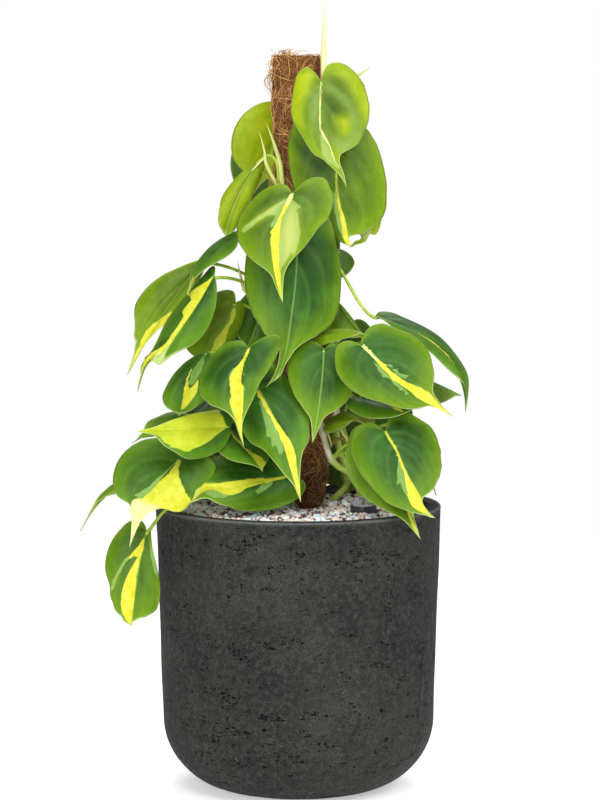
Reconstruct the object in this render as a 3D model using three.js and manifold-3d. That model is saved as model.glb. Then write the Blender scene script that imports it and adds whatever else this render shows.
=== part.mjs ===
// Potted brasil philodendron on a coir pole, in a round concrete pot.
// Millimetres, +Z up, origin at the centre of the pot's flat underside. The pot's front faces -Y.
import * as THREE from 'three';
import { mergeVertices } from 'three/addons/utils/BufferGeometryUtils.js';
import Module from 'manifold-3d';

const wasm = await Module();
wasm.setup();

// Pot, a cast shell with a wide rounded foot
const potHeight = 230;
const rimRadius = 115;
const wall = 11;
const floorThickness = 12;
const footCorner = 58.5;
const wallRadiusAtFoot = 109.7;
const rimRounding = 1.6;

// What fills the pot
const fit = 0.3;
const gravelTop = 225.5;
const gravelDepth = 12;
const gravelRelief = 0.8;

// Pole: a stake wrapped in coir, leaning a little to the left
const poleTop = 590;
const poleTopX = -1.5;
const poleLowX = 6;
const poleLowZ = 255;
const coirRadius = 19.6;
const coirRelief = 0.8;
const stakeRadius = 4;
const stakeFoot = 60;
const stakeHead = 572;

// Plant
const bladeThickness = 1;
const bladeRows = 8;
const bladeColumns = 2;
const stemRadius = 2.6;
const stemSides = 5;
const stemFoot = 176;
const petioleRadius = 1.3;
const petioleSides = 4;
const petioleSteps = 4;

// Water gauge and watering stopper, both standing in the gravel
const gauge = { x: 52, y: -23, radius: 10.5, shaft: 6, foot: 150, ringTop: 232, dialTop: 232.6, domeTop: 240 };
const stopper = { x: 28, y: 86, radius: 7, shaft: 4.5, foot: 196, top: 235 };

const colours = {
  concrete: 0x3f4141, mix: 0x6b4a35, gravel: 0xb9aca4, stake: 0x9c7b4f, coir: 0x7a4e2b,
  leaf: 0x3f7a2f, housing: 0x2b2433, dial: 0xd9d2ea, window: 0xe8e4f2, stopper: 0x3a3c3e,
};

function material(colour, roughness, metalness = 0) {
  return new THREE.MeshStandardMaterial({ color: colour, roughness, metalness });
}

// A closed three.js geometry as a manifold, faces turned outwards
function solid(geometry) {
  geometry.deleteAttribute('normal');
  geometry.deleteAttribute('uv');
  const merged = mergeVertices(geometry, 1e-4);
  const index = Array.from(merged.index.array);
  const triVerts = [];
  for (let i = 0; i < index.length; i += 3) {
    const [a, b, c] = [index[i], index[i + 1], index[i + 2]];
    if (a !== b && b !== c && c !== a) triVerts.push(a, b, c);
  }
  const vertProperties = Float32Array.from(merged.attributes.position.array);
  const build = (order) => new wasm.Manifold(new wasm.Mesh({
    numProp: 3, vertProperties, triVerts: Uint32Array.from(order),
  }));
  const first = build(triVerts);
  if (first.volume() > 0) return first;
  const turned = [];
  for (let i = 0; i < triVerts.length; i += 3) turned.push(triVerts[i], triVerts[i + 2], triVerts[i + 1]);
  return build(turned);
}

function meshOf(name, body, finish) {
  const data = body.getMesh();
  const geometry = new THREE.BufferGeometry();
  geometry.setAttribute('position', new THREE.BufferAttribute(new Float32Array(data.vertProperties), 3));
  geometry.setIndex(new THREE.BufferAttribute(new Uint32Array(data.triVerts), 1));
  geometry.computeVertexNormals();
  const mesh = new THREE.Mesh(geometry, finish);
  mesh.name = name;
  return mesh;
}

// A lathe turns about Y, so it is stood up to turn about Z
function turned(points, segments, x = 0, y = 0) {
  const profile = points.map(([r, z]) => new THREE.Vector2(r, z));
  return solid(new THREE.LatheGeometry(profile, segments).rotateX(Math.PI / 2).translate(x, y, 0));
}

// Round tube along a curve; the curve is a list of points
function tube(points, radius, sides, steps) {
  const path = new THREE.CatmullRomCurve3(points, false, 'centripetal');
  const ring = [];
  for (let i = 0; i < sides; i += 1) {
    const angle = (2 * Math.PI * i) / sides;
    ring.push(new THREE.Vector2(radius * Math.cos(angle), radius * Math.sin(angle)));
  }
  return solid(new THREE.ExtrudeGeometry(new THREE.Shape(ring), { steps, extrudePath: path, bevelEnabled: false }));
}

function upright(x, y, radius, bottom, top, segments = 10) {
  return turned([[0, bottom], [radius, bottom], [radius, top], [0, top]], segments, x, y);
}

const vector = (p) => new THREE.Vector3(...p);
const mix = (a, b, t) => a + (b - a) * t;

// Piecewise straight reading of a short list of values
function reading(at, from, to) {
  if (at <= from[0]) return to[0];
  for (let i = 1; i < from.length; i += 1) {
    if (at <= from[i]) return mix(to[i - 1], to[i], (at - from[i - 1]) / (from[i] - from[i - 1]));
  }
  return to[to.length - 1];
}

function cornerArc(centreR, centreZ, radius, steps) {
  const points = [];
  for (let i = 0; i <= steps; i += 1) {
    const angle = -Math.PI / 2 + (Math.PI / 2) * (i / steps);
    points.push([centreR + radius * Math.cos(angle), centreZ + radius * Math.sin(angle)]);
  }
  return points;
}

// Inner radius of the pot at a height above its rounded foot
function innerRadius(z) {
  return mix(wallRadiusAtFoot, rimRadius, (z - footCorner) / (potHeight - footCorner)) - wall;
}

function makePot() {
  const innerCorner = footCorner - wall;
  const outside = cornerArc(wallRadiusAtFoot - footCorner, footCorner, footCorner, 6);
  const rim = [
    [rimRadius, potHeight - rimRounding], [rimRadius - rimRounding, potHeight],
    [rimRadius - wall + rimRounding, potHeight], [rimRadius - wall, potHeight - rimRounding],
  ];
  const inside = cornerArc(wallRadiusAtFoot - wall - innerCorner, floorThickness + innerCorner, innerCorner, 4);
  return turned([[0, 0], ...outside, ...rim, ...inside.reverse(), [0, floorThickness]], 40);
}

function fillingShape(bottom, top) {
  const innerCorner = footCorner - wall;
  const low = cornerArc(wallRadiusAtFoot - wall - fit - innerCorner, bottom + innerCorner, innerCorner, 4);
  return turned([[0, bottom], ...low, [innerRadius(top) - fit, top], [0, top]], 28);
}

// Pebbled top of the gravel, in waves of about a stone's width
function pebbles(x, y) {
  return gravelRelief * Math.sin(0.9 * x + 1.7 * Math.sin(0.35 * y)) * Math.cos(0.8 * y + 1.3 * Math.cos(0.3 * x));
}

function gravelShape(bottom, top) {
  const edge = innerRadius(bottom) - fit;
  const rings = 8;
  const profile = [new THREE.Vector2(0, bottom), new THREE.Vector2(edge, bottom)];
  for (let i = 0; i <= rings; i += 1) profile.push(new THREE.Vector2(edge * (1 - i / rings), top));
  const geometry = new THREE.LatheGeometry(profile, 32).rotateX(Math.PI / 2);
  const place = geometry.attributes.position;
  for (let i = 0; i < place.count; i += 1) {
    const [x, y, z] = [place.getX(i), place.getY(i), place.getZ(i)];
    if (z > top - 1e-3) place.setZ(i, z + pebbles(Math.round(x * 100) / 100, Math.round(y * 100) / 100));
  }
  return solid(geometry);
}

function poleX(z) {
  return poleLowX + ((poleTopX - poleLowX) * (z - poleLowZ)) / (poleTop - poleLowZ);
}

// Point beside the pole, at an angle from the front towards the right
function beside(angle, z, reach) {
  const turn = (angle * Math.PI) / 180;
  return [poleX(z) + reach * Math.sin(turn), -reach * Math.cos(turn), z];
}

// Coir wrap: height, centre x and radius of its sections; its lower end is drawn in and pushed aside
const coirSections = {
  z: [227, 232, 240, 255, 275, 300, 580, 590],
  aside: [1.9, 1.6, 1, 0, 0, 0, 0, 0],
  radius: [8, 11, 13.2, 17.2, 18.8, coirRadius, coirRadius, coirRadius - 1.2],
};

function coirSkin(angle, z) {
  const wraps = Math.sin(3 * angle + z / 9) + 0.7 * Math.sin(5 * angle - z / 5.3);
  return reading(z, coirSections.z, coirSections.radius) + 0.5 * coirRelief * wraps;
}

function makeCoir() {
  const low = coirSections.z[0];
  const sides = 16;
  const geometry = new THREE.CylinderGeometry(1, 1, 1, sides, 20).rotateX(Math.PI / 2);
  const place = geometry.attributes.position;
  for (let i = 0; i < place.count; i += 1) {
    const [x, y] = [place.getX(i), place.getY(i)];
    const z = mix(low, poleTop, place.getZ(i) + 0.5);
    const centre = poleX(z) + reading(z, coirSections.z, coirSections.aside);
    const out = Math.hypot(x, y) < 0.5 ? 0 : coirSkin(Math.round(Math.atan2(y, x) * 1e3) / 1e3, z);
    const angle = Math.atan2(y, x);
    place.setXYZ(i, centre + out * Math.cos(angle), out * Math.sin(angle), z);
  }
  return solid(geometry);
}

function stakeShape(radius, bottom, top) {
  return tube([bottom, mix(bottom, top, 0.5), top].map((z) => new THREE.Vector3(poleX(z), 0, z)), radius, 12, 2);
}

// Half outline of a heart-shaped blade: across in half widths, along in blade lengths
const heart = [
  [0, 0], [0.07, -0.06], [0.19, -0.13], [0.40, -0.165], [0.64, -0.145], [0.85, -0.055], [0.98, 0.085],
  [1, 0.23], [0.93, 0.37], [0.78, 0.50], [0.57, 0.615], [0.35, 0.70], [0.19, 0.765], [0.10, 0.83],
  [0.05, 0.90], [0.02, 0.955], [0, 1],
];
const widest = 0.23;
const neckStart = 0.75;
const ribStart = 0.22;

// One side of the outline as rows, spaced by its length
function sideOutline(rows, lobe, neck, full, low) {
  const points = heart.map(([x, y]) => {
    const across = y > widest ? x + full * x * (1 - x) : x;
    const lowered = reading(y, [0, widest, 1], [0, low, 1]);
    const along = y < 0 ? y * lobe : reading(lowered, [0, neckStart, 1], [0, neck, 1]);
    return new THREE.Vector3(0.45 * across, along, 0);
  });
  const curve = new THREE.CatmullRomCurve3(points, false, 'catmullrom', 0.5);
  return curve.getSpacedPoints(rows).map((p) => [p.x / 0.45, p.y]);
}

// Blade surface from five points: base, bend of the midrib, tip, and the widest points of the two sides
function bladeGrid(leaf) {
  const [base, bend, tip, left, right] = leaf.points.map(vector);
  const { lobe = [1, 1], neck = neckStart, full = [0, 0], low = [widest, widest], dome = 2, hook = 0 } = leaf;
  const midrib = (u) => base.clone().multiplyScalar((1 - u) ** 2)
    .addScaledVector(bend, 2 * u * (1 - u)).addScaledVector(tip, u * u);
  const length = tip.distanceTo(base);
  const across = [left, right].map((edge, i) => edge.clone().sub(midrib(reading(low[i], [0, neckStart, 1], [0, neck, 1]))));
  const face = tip.clone().sub(base).cross(across[1].clone().sub(across[0])).normalize();
  const start = bend.clone().sub(base).normalize().add(tip.clone().sub(base).normalize()).normalize();
  const aside = face.clone().cross(tip.clone().sub(bend)).normalize();
  const sides = [0, 1].map((i) => sideOutline(bladeRows, lobe[i], neck, full[i], low[i]));
  const grid = [];
  for (let row = 0; row <= bladeRows; row += 1) {
    const rib = Math.max(0, (row / bladeRows - ribStart) / (1 - ribStart)) ** 1.7;
    const line = [];
    for (let column = -bladeColumns; column <= bladeColumns; column += 1) {
      const half = column < 0 ? 0 : 1;
      const share = Math.abs(column) / bladeColumns;
      const out = sides[half][row][0] * share;
      const along = mix(rib, sides[half][row][1], share);
      const back = Math.min(along, 0);
      const hooked = hook * Math.sin(Math.PI * Math.max(0, (along - 0.72) / 0.28));
      line.push(midrib(Math.max(along, 0)).addScaledVector(start, length * back)
        .addScaledVector(face, dome * 4 * out * (1 - out) - 2 * (back / 0.165) ** 2)
        .addScaledVector(across[half], out).addScaledVector(aside, hooked));
    }
    grid.push(line);
  }
  return { grid, face, start, base };
}

// Closed blade: both faces are split alike, and a strip closes the margin
function bladeSolid(leaf) {
  const { grid, face } = bladeGrid(leaf);
  const columns = 2 * bladeColumns + 1;
  const places = [];
  [0.5, -0.5].forEach((side) => grid.forEach((line) => line.forEach((p) => {
    const q = p.clone().addScaledVector(face, side * bladeThickness);
    places.push(q.x, q.y, q.z);
  })));
  const under = grid.length * columns;
  const index = [];
  const quad = (a, b, c, d) => index.push(a, b, c, a, c, d);
  for (let row = 0; row < bladeRows; row += 1) {
    for (let column = 0; column < columns - 1; column += 1) {
      const a = row * columns + column;
      const [b, c, d] = [a + 1, a + columns + 1, a + columns];
      index.push(a, b, c, a, c, d);
      index.push(under + a, under + c, under + b, under + a, under + d, under + c);
    }
    const left = row * columns;
    const right = left + columns - 1;
    quad(left, left + columns, under + left + columns, under + left);
    quad(right, under + right, under + right + columns, right + columns);
  }
  const geometry = new THREE.BufferGeometry();
  geometry.setAttribute('position', new THREE.Float32BufferAttribute(places, 3));
  geometry.setIndex(index);
  return solid(geometry);
}

// Leaf stalk from a node on the stem to the notch of the blade, which it enters from behind
function stalk(from, leaf) {
  const { face, start, base } = bladeGrid(leaf);
  const end = base.clone().addScaledVector(start, 3);
  if (leaf.over) return tube([from, ...leaf.over.map(vector), end], petioleRadius, petioleSides, 2 * petioleSteps);
  const reach = base.distanceTo(from);
  const first = from.clone().lerp(base, 0.33).add(new THREE.Vector3(0, 0, 0.16 * reach));
  const last = base.clone().addScaledVector(face, -0.16 * reach).addScaledVector(start, -0.1 * reach);
  const curve = new THREE.CubicBezierCurve3(from, first, last, end);
  return tube(curve.getPoints(petioleSteps), petioleRadius, petioleSides, petioleSteps);
}

// Each vine: where its stem stands in the pot, the stem's route, and its leaves as
// [height on the stem, base, bend of the midrib, tip, left and right widest points, shape]
const poleGap = coirRadius + 1.5 * coirRelief + stemRadius;
const vines = {
  vine_crown: {
    foot: [26, 42],
    route: [[40, 24, 244], [37, 8, 258], [31, 0, 285], beside(80, 330, poleGap), beside(75, 400, poleGap),
      beside(66, 470, poleGap), beside(56, 530, poleGap), beside(50, 566, poleGap)],
    leaves: [
      [556, [18, -44, 569], [17, -56, 524], [38, -50, 486], [-4, -44, 549], [54, -40, 547],
        { lobe: [0.75, 1.1], neck: 0.73, full: [0, -0.5], hook: 2 }],
      [500, [30, -30, 525], [28, -42, 473], [49, -34, 442], [-10, -26, 513], [70, -22, 492],
        { lobe: [0.6, 0.6], neck: 0.93, full: [0.8, 0.3] }],
      [470, [44, -8, 507], [43, -14, 476], [51, -14, 444], [25, -4, 479], [72, -6, 473],
        { neck: 0.9, full: [0.5, 0.8] }],
      [360, [29, -14, 394], [37, -22, 382], [51, -26, 366], [22, -20, 372], [45, -18, 379], { neck: 0.9 }],
      [425, [65, -40, 382], [138, -52, 368], [132, -52, 310], [93, -60, 371], [97, -14, 377],
        { lobe: [0.6, 0.6], neck: 0.85, full: [0.9, 0.9] }],
      [344, [50, -76, 364], [79, -96, 335], [121, -92, 310], [43, -84, 335], [89, -70, 373],
        { lobe: [0.7, 0.6], neck: 0.78, full: [0.9, 0.4], over: [[42, -30, 360], [52, -56, 365]] }],
      [316, [47, -50, 321], [70, -62, 317], [103, -62, 316], [59, -72, 306], [70, -40, 330], { neck: 0.9 }],
    ],
    shoots: [
      { from: [17, -15, 562], to: [21, -11, 634], radius: 2.6 },
      { from: [17, -15, 556], to: [57, -16, 581], radius: 1.2 },
    ],
  },
  vine_left: {
    foot: [-28, 8],
    route: [beside(-88, 262, poleGap + 2), beside(-85, 300, poleGap), beside(-80, 350, poleGap),
      beside(-62, 430, poleGap), beside(-42, 487, poleGap)],
    leaves: [
      [470, [-5, -62, 482], [-24, -76, 448], [-12, -80, 398], [-46, -60, 460], [25, -66, 475],
        { lobe: [0.7, 0.65], neck: 0.74 }],
      [478, [-32, -12, 507], [-46, -24, 480], [-57, -23, 446], [-61, -20, 477], [-34, -14, 484],
        { lobe: [0.3, 0.3], neck: 0.85, full: [0.3, 0.6] }],
      [340, [-38, -86, 363], [-56, -100, 328], [-42, -104, 288], [-77, -84, 340], [-17, -88, 356],
        { lobe: [0.8, 0.35], neck: 0.74 }],
      [318, [-34, -60, 333], [-10, -82, 299], [2, -100, 244], [-47, -66, 301], [4, -62, 322], { neck: 0.82 }],
      [330, [-72, -48, 357], [-88, -60, 337], [-94, -58, 307], [-104, -50, 331], [-69, -58, 326],
        { lobe: [0.4, 0.4], neck: 0.9 }],
    ],
    shoots: [
      { from: [-15, -20, 480], to: [-26, -23, 536], radius: 1.9 },
      { from: [-16, -20, 480], to: [-33, -18, 530], radius: 1.4 },
    ],
  },
  vine_middle: {
    foot: [-38, 26],
    route: [beside(-112, 268, poleGap + 4), beside(-110, 300, poleGap), beside(-110, 350, poleGap),
      beside(-100, 402, poleGap)],
    leaves: [
      [400, [-48, -40, 447], [-76, -56, 432], [-87, -66, 403], [-68, -28, 439], [-62, -62, 429],
        { lobe: [0.5, 0.5], neck: 0.8 }],
      [396, [-76, -30, 427], [-111, -46, 385], [-135, -52, 339], [-123, -34, 404], [-90, -44, 393],
        { lobe: [0.25, 0.2], full: [-0.3, 0] }],
      [388, [-66, -60, 418], [-103, -78, 378], [-125, -88, 329], [-91, -50, 399], [-72, -74, 375],
        { lobe: [0.4, 0.3], neck: 0.8, full: [0.9, -0.2] }],
      [370, [-50, -14, 394], [-61, -26, 369], [-77, -32, 337], [-91, -16, 374], [-48, -14, 370],
        { lobe: [1.4, 0.4], neck: 0.8 }],
      [366, [-25, 14, 397], [-34, 10, 374], [-45, 8, 346], [-52, 14, 384], [-11, 20, 378], {}],
      [300, [-67, 45, 330], [-91, 60, 298], [-102, 66, 255], [-55, 79, 315], [-93, 18, 315], {}],
      [280, [-83, 12, 300], [-109, 16, 271], [-121, 18, 230], [-86, 47, 286], [-95, -20, 286], {}],
    ],
    shoots: [],
  },
  vine_front: {
    foot: [49, -2],
    route: [[49, -5, 242], [40, -18, 257], [27, -23, 268], [19, -25, 292], beside(22, 330, poleGap),
      beside(8, 380, poleGap), beside(4, 442, poleGap)],
    leaves: [
      [438, [-1, -50, 451], [1, -68, 380], [-26, -72, 331], [-43, -50, 414], [34, -46, 415], { neck: 0.72 }],
      [345, [20, -58, 360], [19, -76, 326], [11, -78, 288], [-9, -60, 345], [46, -58, 342],
        { lobe: [0.5, 0.5], neck: 0.76 }],
      [352, [3, -38, 366], [29, -54, 376], [58, -62, 370], [25, -56, 364], [21, -32, 370], { neck: 0.85 }],
      [305, [68, -78, 297], [76, -98, 269], [106, -108, 233], [45, -86, 275], [106, -76, 287],
        { lobe: [0.6, 1.1], neck: 0.84, full: [1, -0.1] }],
      [268, [60, -62, 289], [52, -88, 252], [95, -106, 216], [37, -70, 271], [88, -70, 262],
        { lobe: [0.6, 0.6], neck: 0.85, full: [0.3, 0] }],
      [288, [23, -31, 297], [33, -36, 306], [55, -44, 299], [33, -40, 294], [37, -18, 305], {}],
    ],
    shoots: [],
  },
  vine_right: {
    foot: [58, 22],
    route: [[50, 18, 256], [36, 14, 288], beside(115, 330, poleGap), beside(116, 380, poleGap),
      beside(118, 412, poleGap)],
    leaves: [
      [346, [81, -20, 339], [105, -24, 333], [131, -16, 319], [98, -2, 333], [95, -34, 318], { neck: 0.85 }],
      [400, [32, 28, 434], [29, 34, 424], [19, 50, 392], [45, 40, 419], [16, 30, 424], { lobe: [0.2, 0.2] }],
      [350, [42, 30, 366], [55, 45, 334], [58, 47, 290], [69, 12, 351], [21, 54, 351], {}],
      [292, [69, 35, 340], [94, 48, 308], [106, 54, 265], [93, 7, 325], [59, 70, 325], {}],
      [270, [79, 11, 296], [102, 14, 270], [112, 15, 235], [90, -20, 284], [81, 43, 284], {}],
    ],
    shoots: [],
  },
  vine_trailing: {
    foot: [-36, -16],
    route: [[-38, -15, 246], [-46, -15, 264], [-55, -19, 284], [-60, -26, 300]],
    leaves: [
      [286, [-54, -56, 298], [-88, -84, 299], [-125, -96, 299], [-69, -52, 312], [-80, -84, 277],
        { lobe: [0.2, 0.2], neck: 0.8 }],
      [297, [-49, -22, 316], [-54, -27, 302], [-57, -29, 289], [-63, -23, 303], [-44, -27, 302], {}],
      [262, [-94, -66, 273], [-123, -92, 251], [-131, -104, 209], [-142, -66, 276], [-71, -80, 254],
        { lobe: [1.1, 0.6], neck: 0.72, full: [0, 0.2] }],
      [284, [-90, -34, 299], [-111, -42, 298], [-132, -44, 284], [-106, -28, 306], [-117, -50, 289], {}],
      [244, [-10, -46, 257], [-46, -64, 252], [-85, -84, 242], [-47, -28, 279], [-29, -64, 236],
        { lobe: [1.4, 1.4], neck: 0.9, full: [0.3, 0] }],
      [270, [-55, -42, 295], [-38, -56, 284], [-28, -72, 265], [-63, -66, 279], [-29, -28, 285], { neck: 0.9 }],
      [238, [-120, -58, 216], [-128, -66, 182], [-132, -68, 141], [-152, -60, 191], [-109, -62, 175],
        { lobe: [0.8, 0.1], neck: 0.85, full: [0, 0.3], low: [widest, 0.5], over: [[-70, -38, 243], [-101, -53, 235]] }],
      [252, [-131, -20, 253], [-159, -24, 244], [-174, -30, 212], [-145, -14, 247], [-142, -30, 243], { neck: 0.6 }],
    ],
    shoots: [],
  },
  vine_back: {
    foot: [5, 38],
    route: [beside(178, 262, poleGap + 6), beside(180, 300, poleGap), beside(180, 400, poleGap),
      beside(184, 480, poleGap), beside(188, 546, poleGap)],
    leaves: [
      [536, [24, 35, 560], [29, 49, 528], [28, 46, 483], [56, 25, 544], [-6, 48, 544], {}],
      [526, [-14, 26, 547], [-21, 22, 511], [-37, 22, 478], [-54, 16, 523], [0, 30, 515], {}],
      [458, [-21, 41, 520], [-25, 57, 485], [-25, 56, 438], [12, 52, 503], [-55, 34, 503], {}],
      [430, [12, 45, 455], [15, 60, 419], [15, 56, 371], [48, 42, 438], [-23, 55, 438], {}],
      [350, [-29, 37, 368], [-40, 54, 336], [-42, 57, 292], [-5, 58, 353], [-59, 24, 353], {}],
      [362, [2, 64, 386], [1, 80, 351], [1, 74, 304], [38, 68, 369], [-34, 66, 369], {}],
      [296, [44, 69, 318], [57, 92, 283], [62, 100, 235], [80, 56, 301], [14, 94, 301], {}],
      [300, [-24, 83, 322], [-34, 110, 287], [-38, 120, 239], [9, 103, 305], [-62, 77, 305], {}],
      [266, [21, 64, 292], [27, 85, 268], [29, 94, 234], [52, 62, 280], [-6, 77, 280], {}],
      [270, [-36, 57, 290], [-49, 76, 265], [-55, 84, 230], [-15, 80, 278], [-64, 45, 278], {}],
    ],
    shoots: [],
  },
};

// A folded new leaf or a leaf sheath, thickest a third of the way up
function shootSolid({ from, to, radius }) {
  const reach = vector(to).sub(vector(from));
  const length = reach.length();
  const profile = [[0, 0], [0.6, 0.02], [1, 0.35], [0.7, 0.7], [0, 1]];
  const points = profile.map(([r, h]) => new THREE.Vector2(r * radius, h * length));
  const turn = new THREE.Quaternion().setFromUnitVectors(new THREE.Vector3(0, 1, 0), reach.normalize());
  return solid(new THREE.LatheGeometry(points, 6).applyQuaternion(turn).translate(...from));
}

function stemRoute({ foot, route }) {
  const inSoil = [stemFoot, 200, 224, 236].map((z) => [...foot, z]);
  return [...inSoil, ...route].map(vector);
}

function makeVine(vine) {
  const route = stemRoute(vine);
  const steps = Math.round(1.4 * route.length);
  let body = tube(route, stemRadius, stemSides, steps);
  const samples = new THREE.CatmullRomCurve3(route, false, 'centripetal').getPoints(300);
  vine.leaves.forEach(([height, base, bend, tip, left, right, shape]) => {
    const leaf = { points: [base, bend, tip, left, right], ...shape };
    const from = samples.find((p) => p.z >= height) ?? samples[samples.length - 1];
    body = body.add(bladeSolid(leaf)).add(stalk(from.clone(), leaf));
  });
  vine.shoots.forEach((shoot) => { body = body.add(shootSolid(shoot)); });
  const pieces = body.decompose().sort((a, b) => b.volume() - a.volume());
  return pieces[0];
}

// Things that stand in the filling, as [x, y, radius of the hole, foot]
const holeGap = 0.7;
const standing = [
  ...Object.values(vines).map(({ foot }) => [...foot, stemRadius + holeGap, stemFoot - 1]),
  [gauge.x, gauge.y, gauge.shaft + holeGap, gauge.foot - fit],
  [stopper.x, stopper.y, stopper.shaft + holeGap, stopper.foot - fit],
];

function withHoles(body) {
  let cut = body;
  standing.forEach(([x, y, radius, foot]) => { cut = cut.subtract(upright(x, y, radius, foot, potHeight)); });
  return cut.subtract(stakeShape(stakeRadius + fit, stakeFoot - fit, potHeight));
}

function makeGauge() {
  const { x, y, radius, shaft, foot, ringTop, dialTop, domeTop } = gauge;
  const seat = gravelTop + gravelRelief + fit;
  const lip = 1.8;
  const dialSeat = dialTop - 1.6;
  const housing = turned([[0, foot], [shaft, foot], [shaft, seat], [radius, seat], [radius, ringTop],
    [radius - lip, ringTop], [radius - lip, dialSeat], [0, dialSeat]], 20, x, y);
  const inside = radius - lip - fit;
  const dial = upright(x, y, inside, dialSeat + fit, dialTop, 20);
  const dome = [[0, dialTop + fit], [inside, dialTop + fit], [inside, domeTop - 4],
    [inside * 0.85, domeTop - 1.6], [inside * 0.5, domeTop - 0.4], [0, domeTop]];
  return { housing, dial, window: turned(dome, 20, x, y) };
}

function makeStopper() {
  const { x, y, radius, shaft, foot, top } = stopper;
  const seat = gravelTop + gravelRelief + fit;
  return turned([[0, foot], [shaft, foot], [shaft, seat], [radius, seat], [radius, top - 4.5],
    [radius * 0.86, top - 1.8], [radius * 0.5, top - 0.4], [0, top]], 16, x, y);
}

const plant = new THREE.Group();
const mixTop = gravelTop - gravelDepth;
plant.add(meshOf('pot', makePot(), material(colours.concrete, 0.85)));
plant.add(meshOf('growing_mix', withHoles(fillingShape(floorThickness + fit, mixTop - fit)),
  material(colours.mix, 0.95)));
plant.add(meshOf('gravel_layer', withHoles(gravelShape(mixTop, gravelTop)), material(colours.gravel, 0.9)));

const coirGap = stakeShape(stakeRadius + fit, stakeFoot, stakeHead + fit);
plant.add(meshOf('pole_stake', stakeShape(stakeRadius, stakeFoot, stakeHead), material(colours.stake, 0.7)));
plant.add(meshOf('coir_pole', makeCoir().subtract(coirGap), material(colours.coir, 1)));

const leafFinish = material(colours.leaf, 0.45);
Object.entries(vines).forEach(([name, vine]) => plant.add(meshOf(name, makeVine(vine), leafFinish)));

const waterGauge = makeGauge();
plant.add(meshOf('gauge_housing', waterGauge.housing, material(colours.housing, 0.35)));
plant.add(meshOf('gauge_dial', waterGauge.dial, material(colours.dial, 0.5)));
plant.add(meshOf('gauge_window', waterGauge.window, material(colours.window, 0.1)));
plant.add(meshOf('watering_stopper', makeStopper(), material(colours.stopper, 0.4)));

export default plant;
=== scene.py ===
# Potted brasil philodendron on a coir pole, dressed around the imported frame.
# Places and sizes are in millimetres, and turn to metres when a mesh is made.
import math

import bpy
import numpy as np
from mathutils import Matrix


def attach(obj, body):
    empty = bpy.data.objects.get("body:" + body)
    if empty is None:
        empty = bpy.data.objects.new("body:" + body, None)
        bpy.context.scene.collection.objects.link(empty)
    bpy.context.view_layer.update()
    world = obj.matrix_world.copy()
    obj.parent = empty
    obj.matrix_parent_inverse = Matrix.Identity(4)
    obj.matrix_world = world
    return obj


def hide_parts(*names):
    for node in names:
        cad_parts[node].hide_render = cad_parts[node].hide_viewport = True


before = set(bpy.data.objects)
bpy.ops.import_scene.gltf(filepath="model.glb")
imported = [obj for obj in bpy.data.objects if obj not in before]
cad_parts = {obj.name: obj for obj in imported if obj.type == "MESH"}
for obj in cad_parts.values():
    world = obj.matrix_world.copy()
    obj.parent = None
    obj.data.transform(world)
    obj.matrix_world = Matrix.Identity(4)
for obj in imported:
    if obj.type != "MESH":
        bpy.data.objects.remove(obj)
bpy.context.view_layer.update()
metre = 0.001  # one millimetre
scene = bpy.context.scene
scene.view_settings.view_transform = "Standard"
print("frame loaded")


def linear(hexText):  # the sRGB curve: c / 12.92 when dark, else ((c + .055) / 1.055) ** 2.4
    parts = [int(hexText[i:i + 2], 16) / 255 for i in (1, 3, 5)]
    return [c / 12.92 if c <= 0.04045 else ((c + 0.055) / 1.055) ** 2.4 for c in parts] + [1.0]


def feed(tree, node, **given):
    # small-letter names are settings,
    # names with a capital are inputs, and in0, in1 and so on are inputs by number
    for name, value in given.items():
        if name[:2] == "in" and name[2:].isdigit():
            target = node.inputs[int(name[2:])]
        elif name[0].isupper():
            target = node.inputs[name.replace("_", " ")]
        else:
            setattr(node, name, value)
            continue
        if isinstance(value, bpy.types.NodeSocket):
            tree.links.new(value, target)
        else:
            target.default_value = value


def add(tree, kind, out=0, **given):  # one shader node, which returns the output asked for
    node = tree.nodes.new("ShaderNode" + kind)
    feed(tree, node, **given)
    return node.outputs[out]


def startMaterial(name, **shader):  # shader values that are the same all over sit on the shader's own sockets
    material = bpy.data.materials.new(name)
    material.use_nodes = True
    tree = material.node_tree
    principled = tree.nodes["Principled BSDF"]
    feed(tree, principled, **shader)
    return material, tree, principled


def grained(tree, principled, colour, point, scale, depth, strength):  # a colour over a fine grain's bumps
    grain = add(tree, "TexNoise", in2=scale, in3=2.0, Vector=point)
    bump = add(tree, "Bump", Height=grain, Distance=depth, Strength=strength)
    feed(tree, principled, Base_Color=colour, Normal=bump)


def unit(v):  # v over its own length
    return v / np.maximum(np.linalg.norm(v, axis=-1, keepdims=True), 1e-9)


def gridFaces(rows, columns, wrap=False):  # quads between neighbouring rows and columns of a grid
    r = np.arange(rows - 1)[:, None]
    c = np.arange(columns if wrap else columns - 1)[None, :]
    n = (c + 1) % columns
    quads = np.stack([r * columns + c, r * columns + n, (r + 1) * columns + n, (r + 1) * columns + c], -1)
    return quads.reshape(-1, 4)


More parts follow.
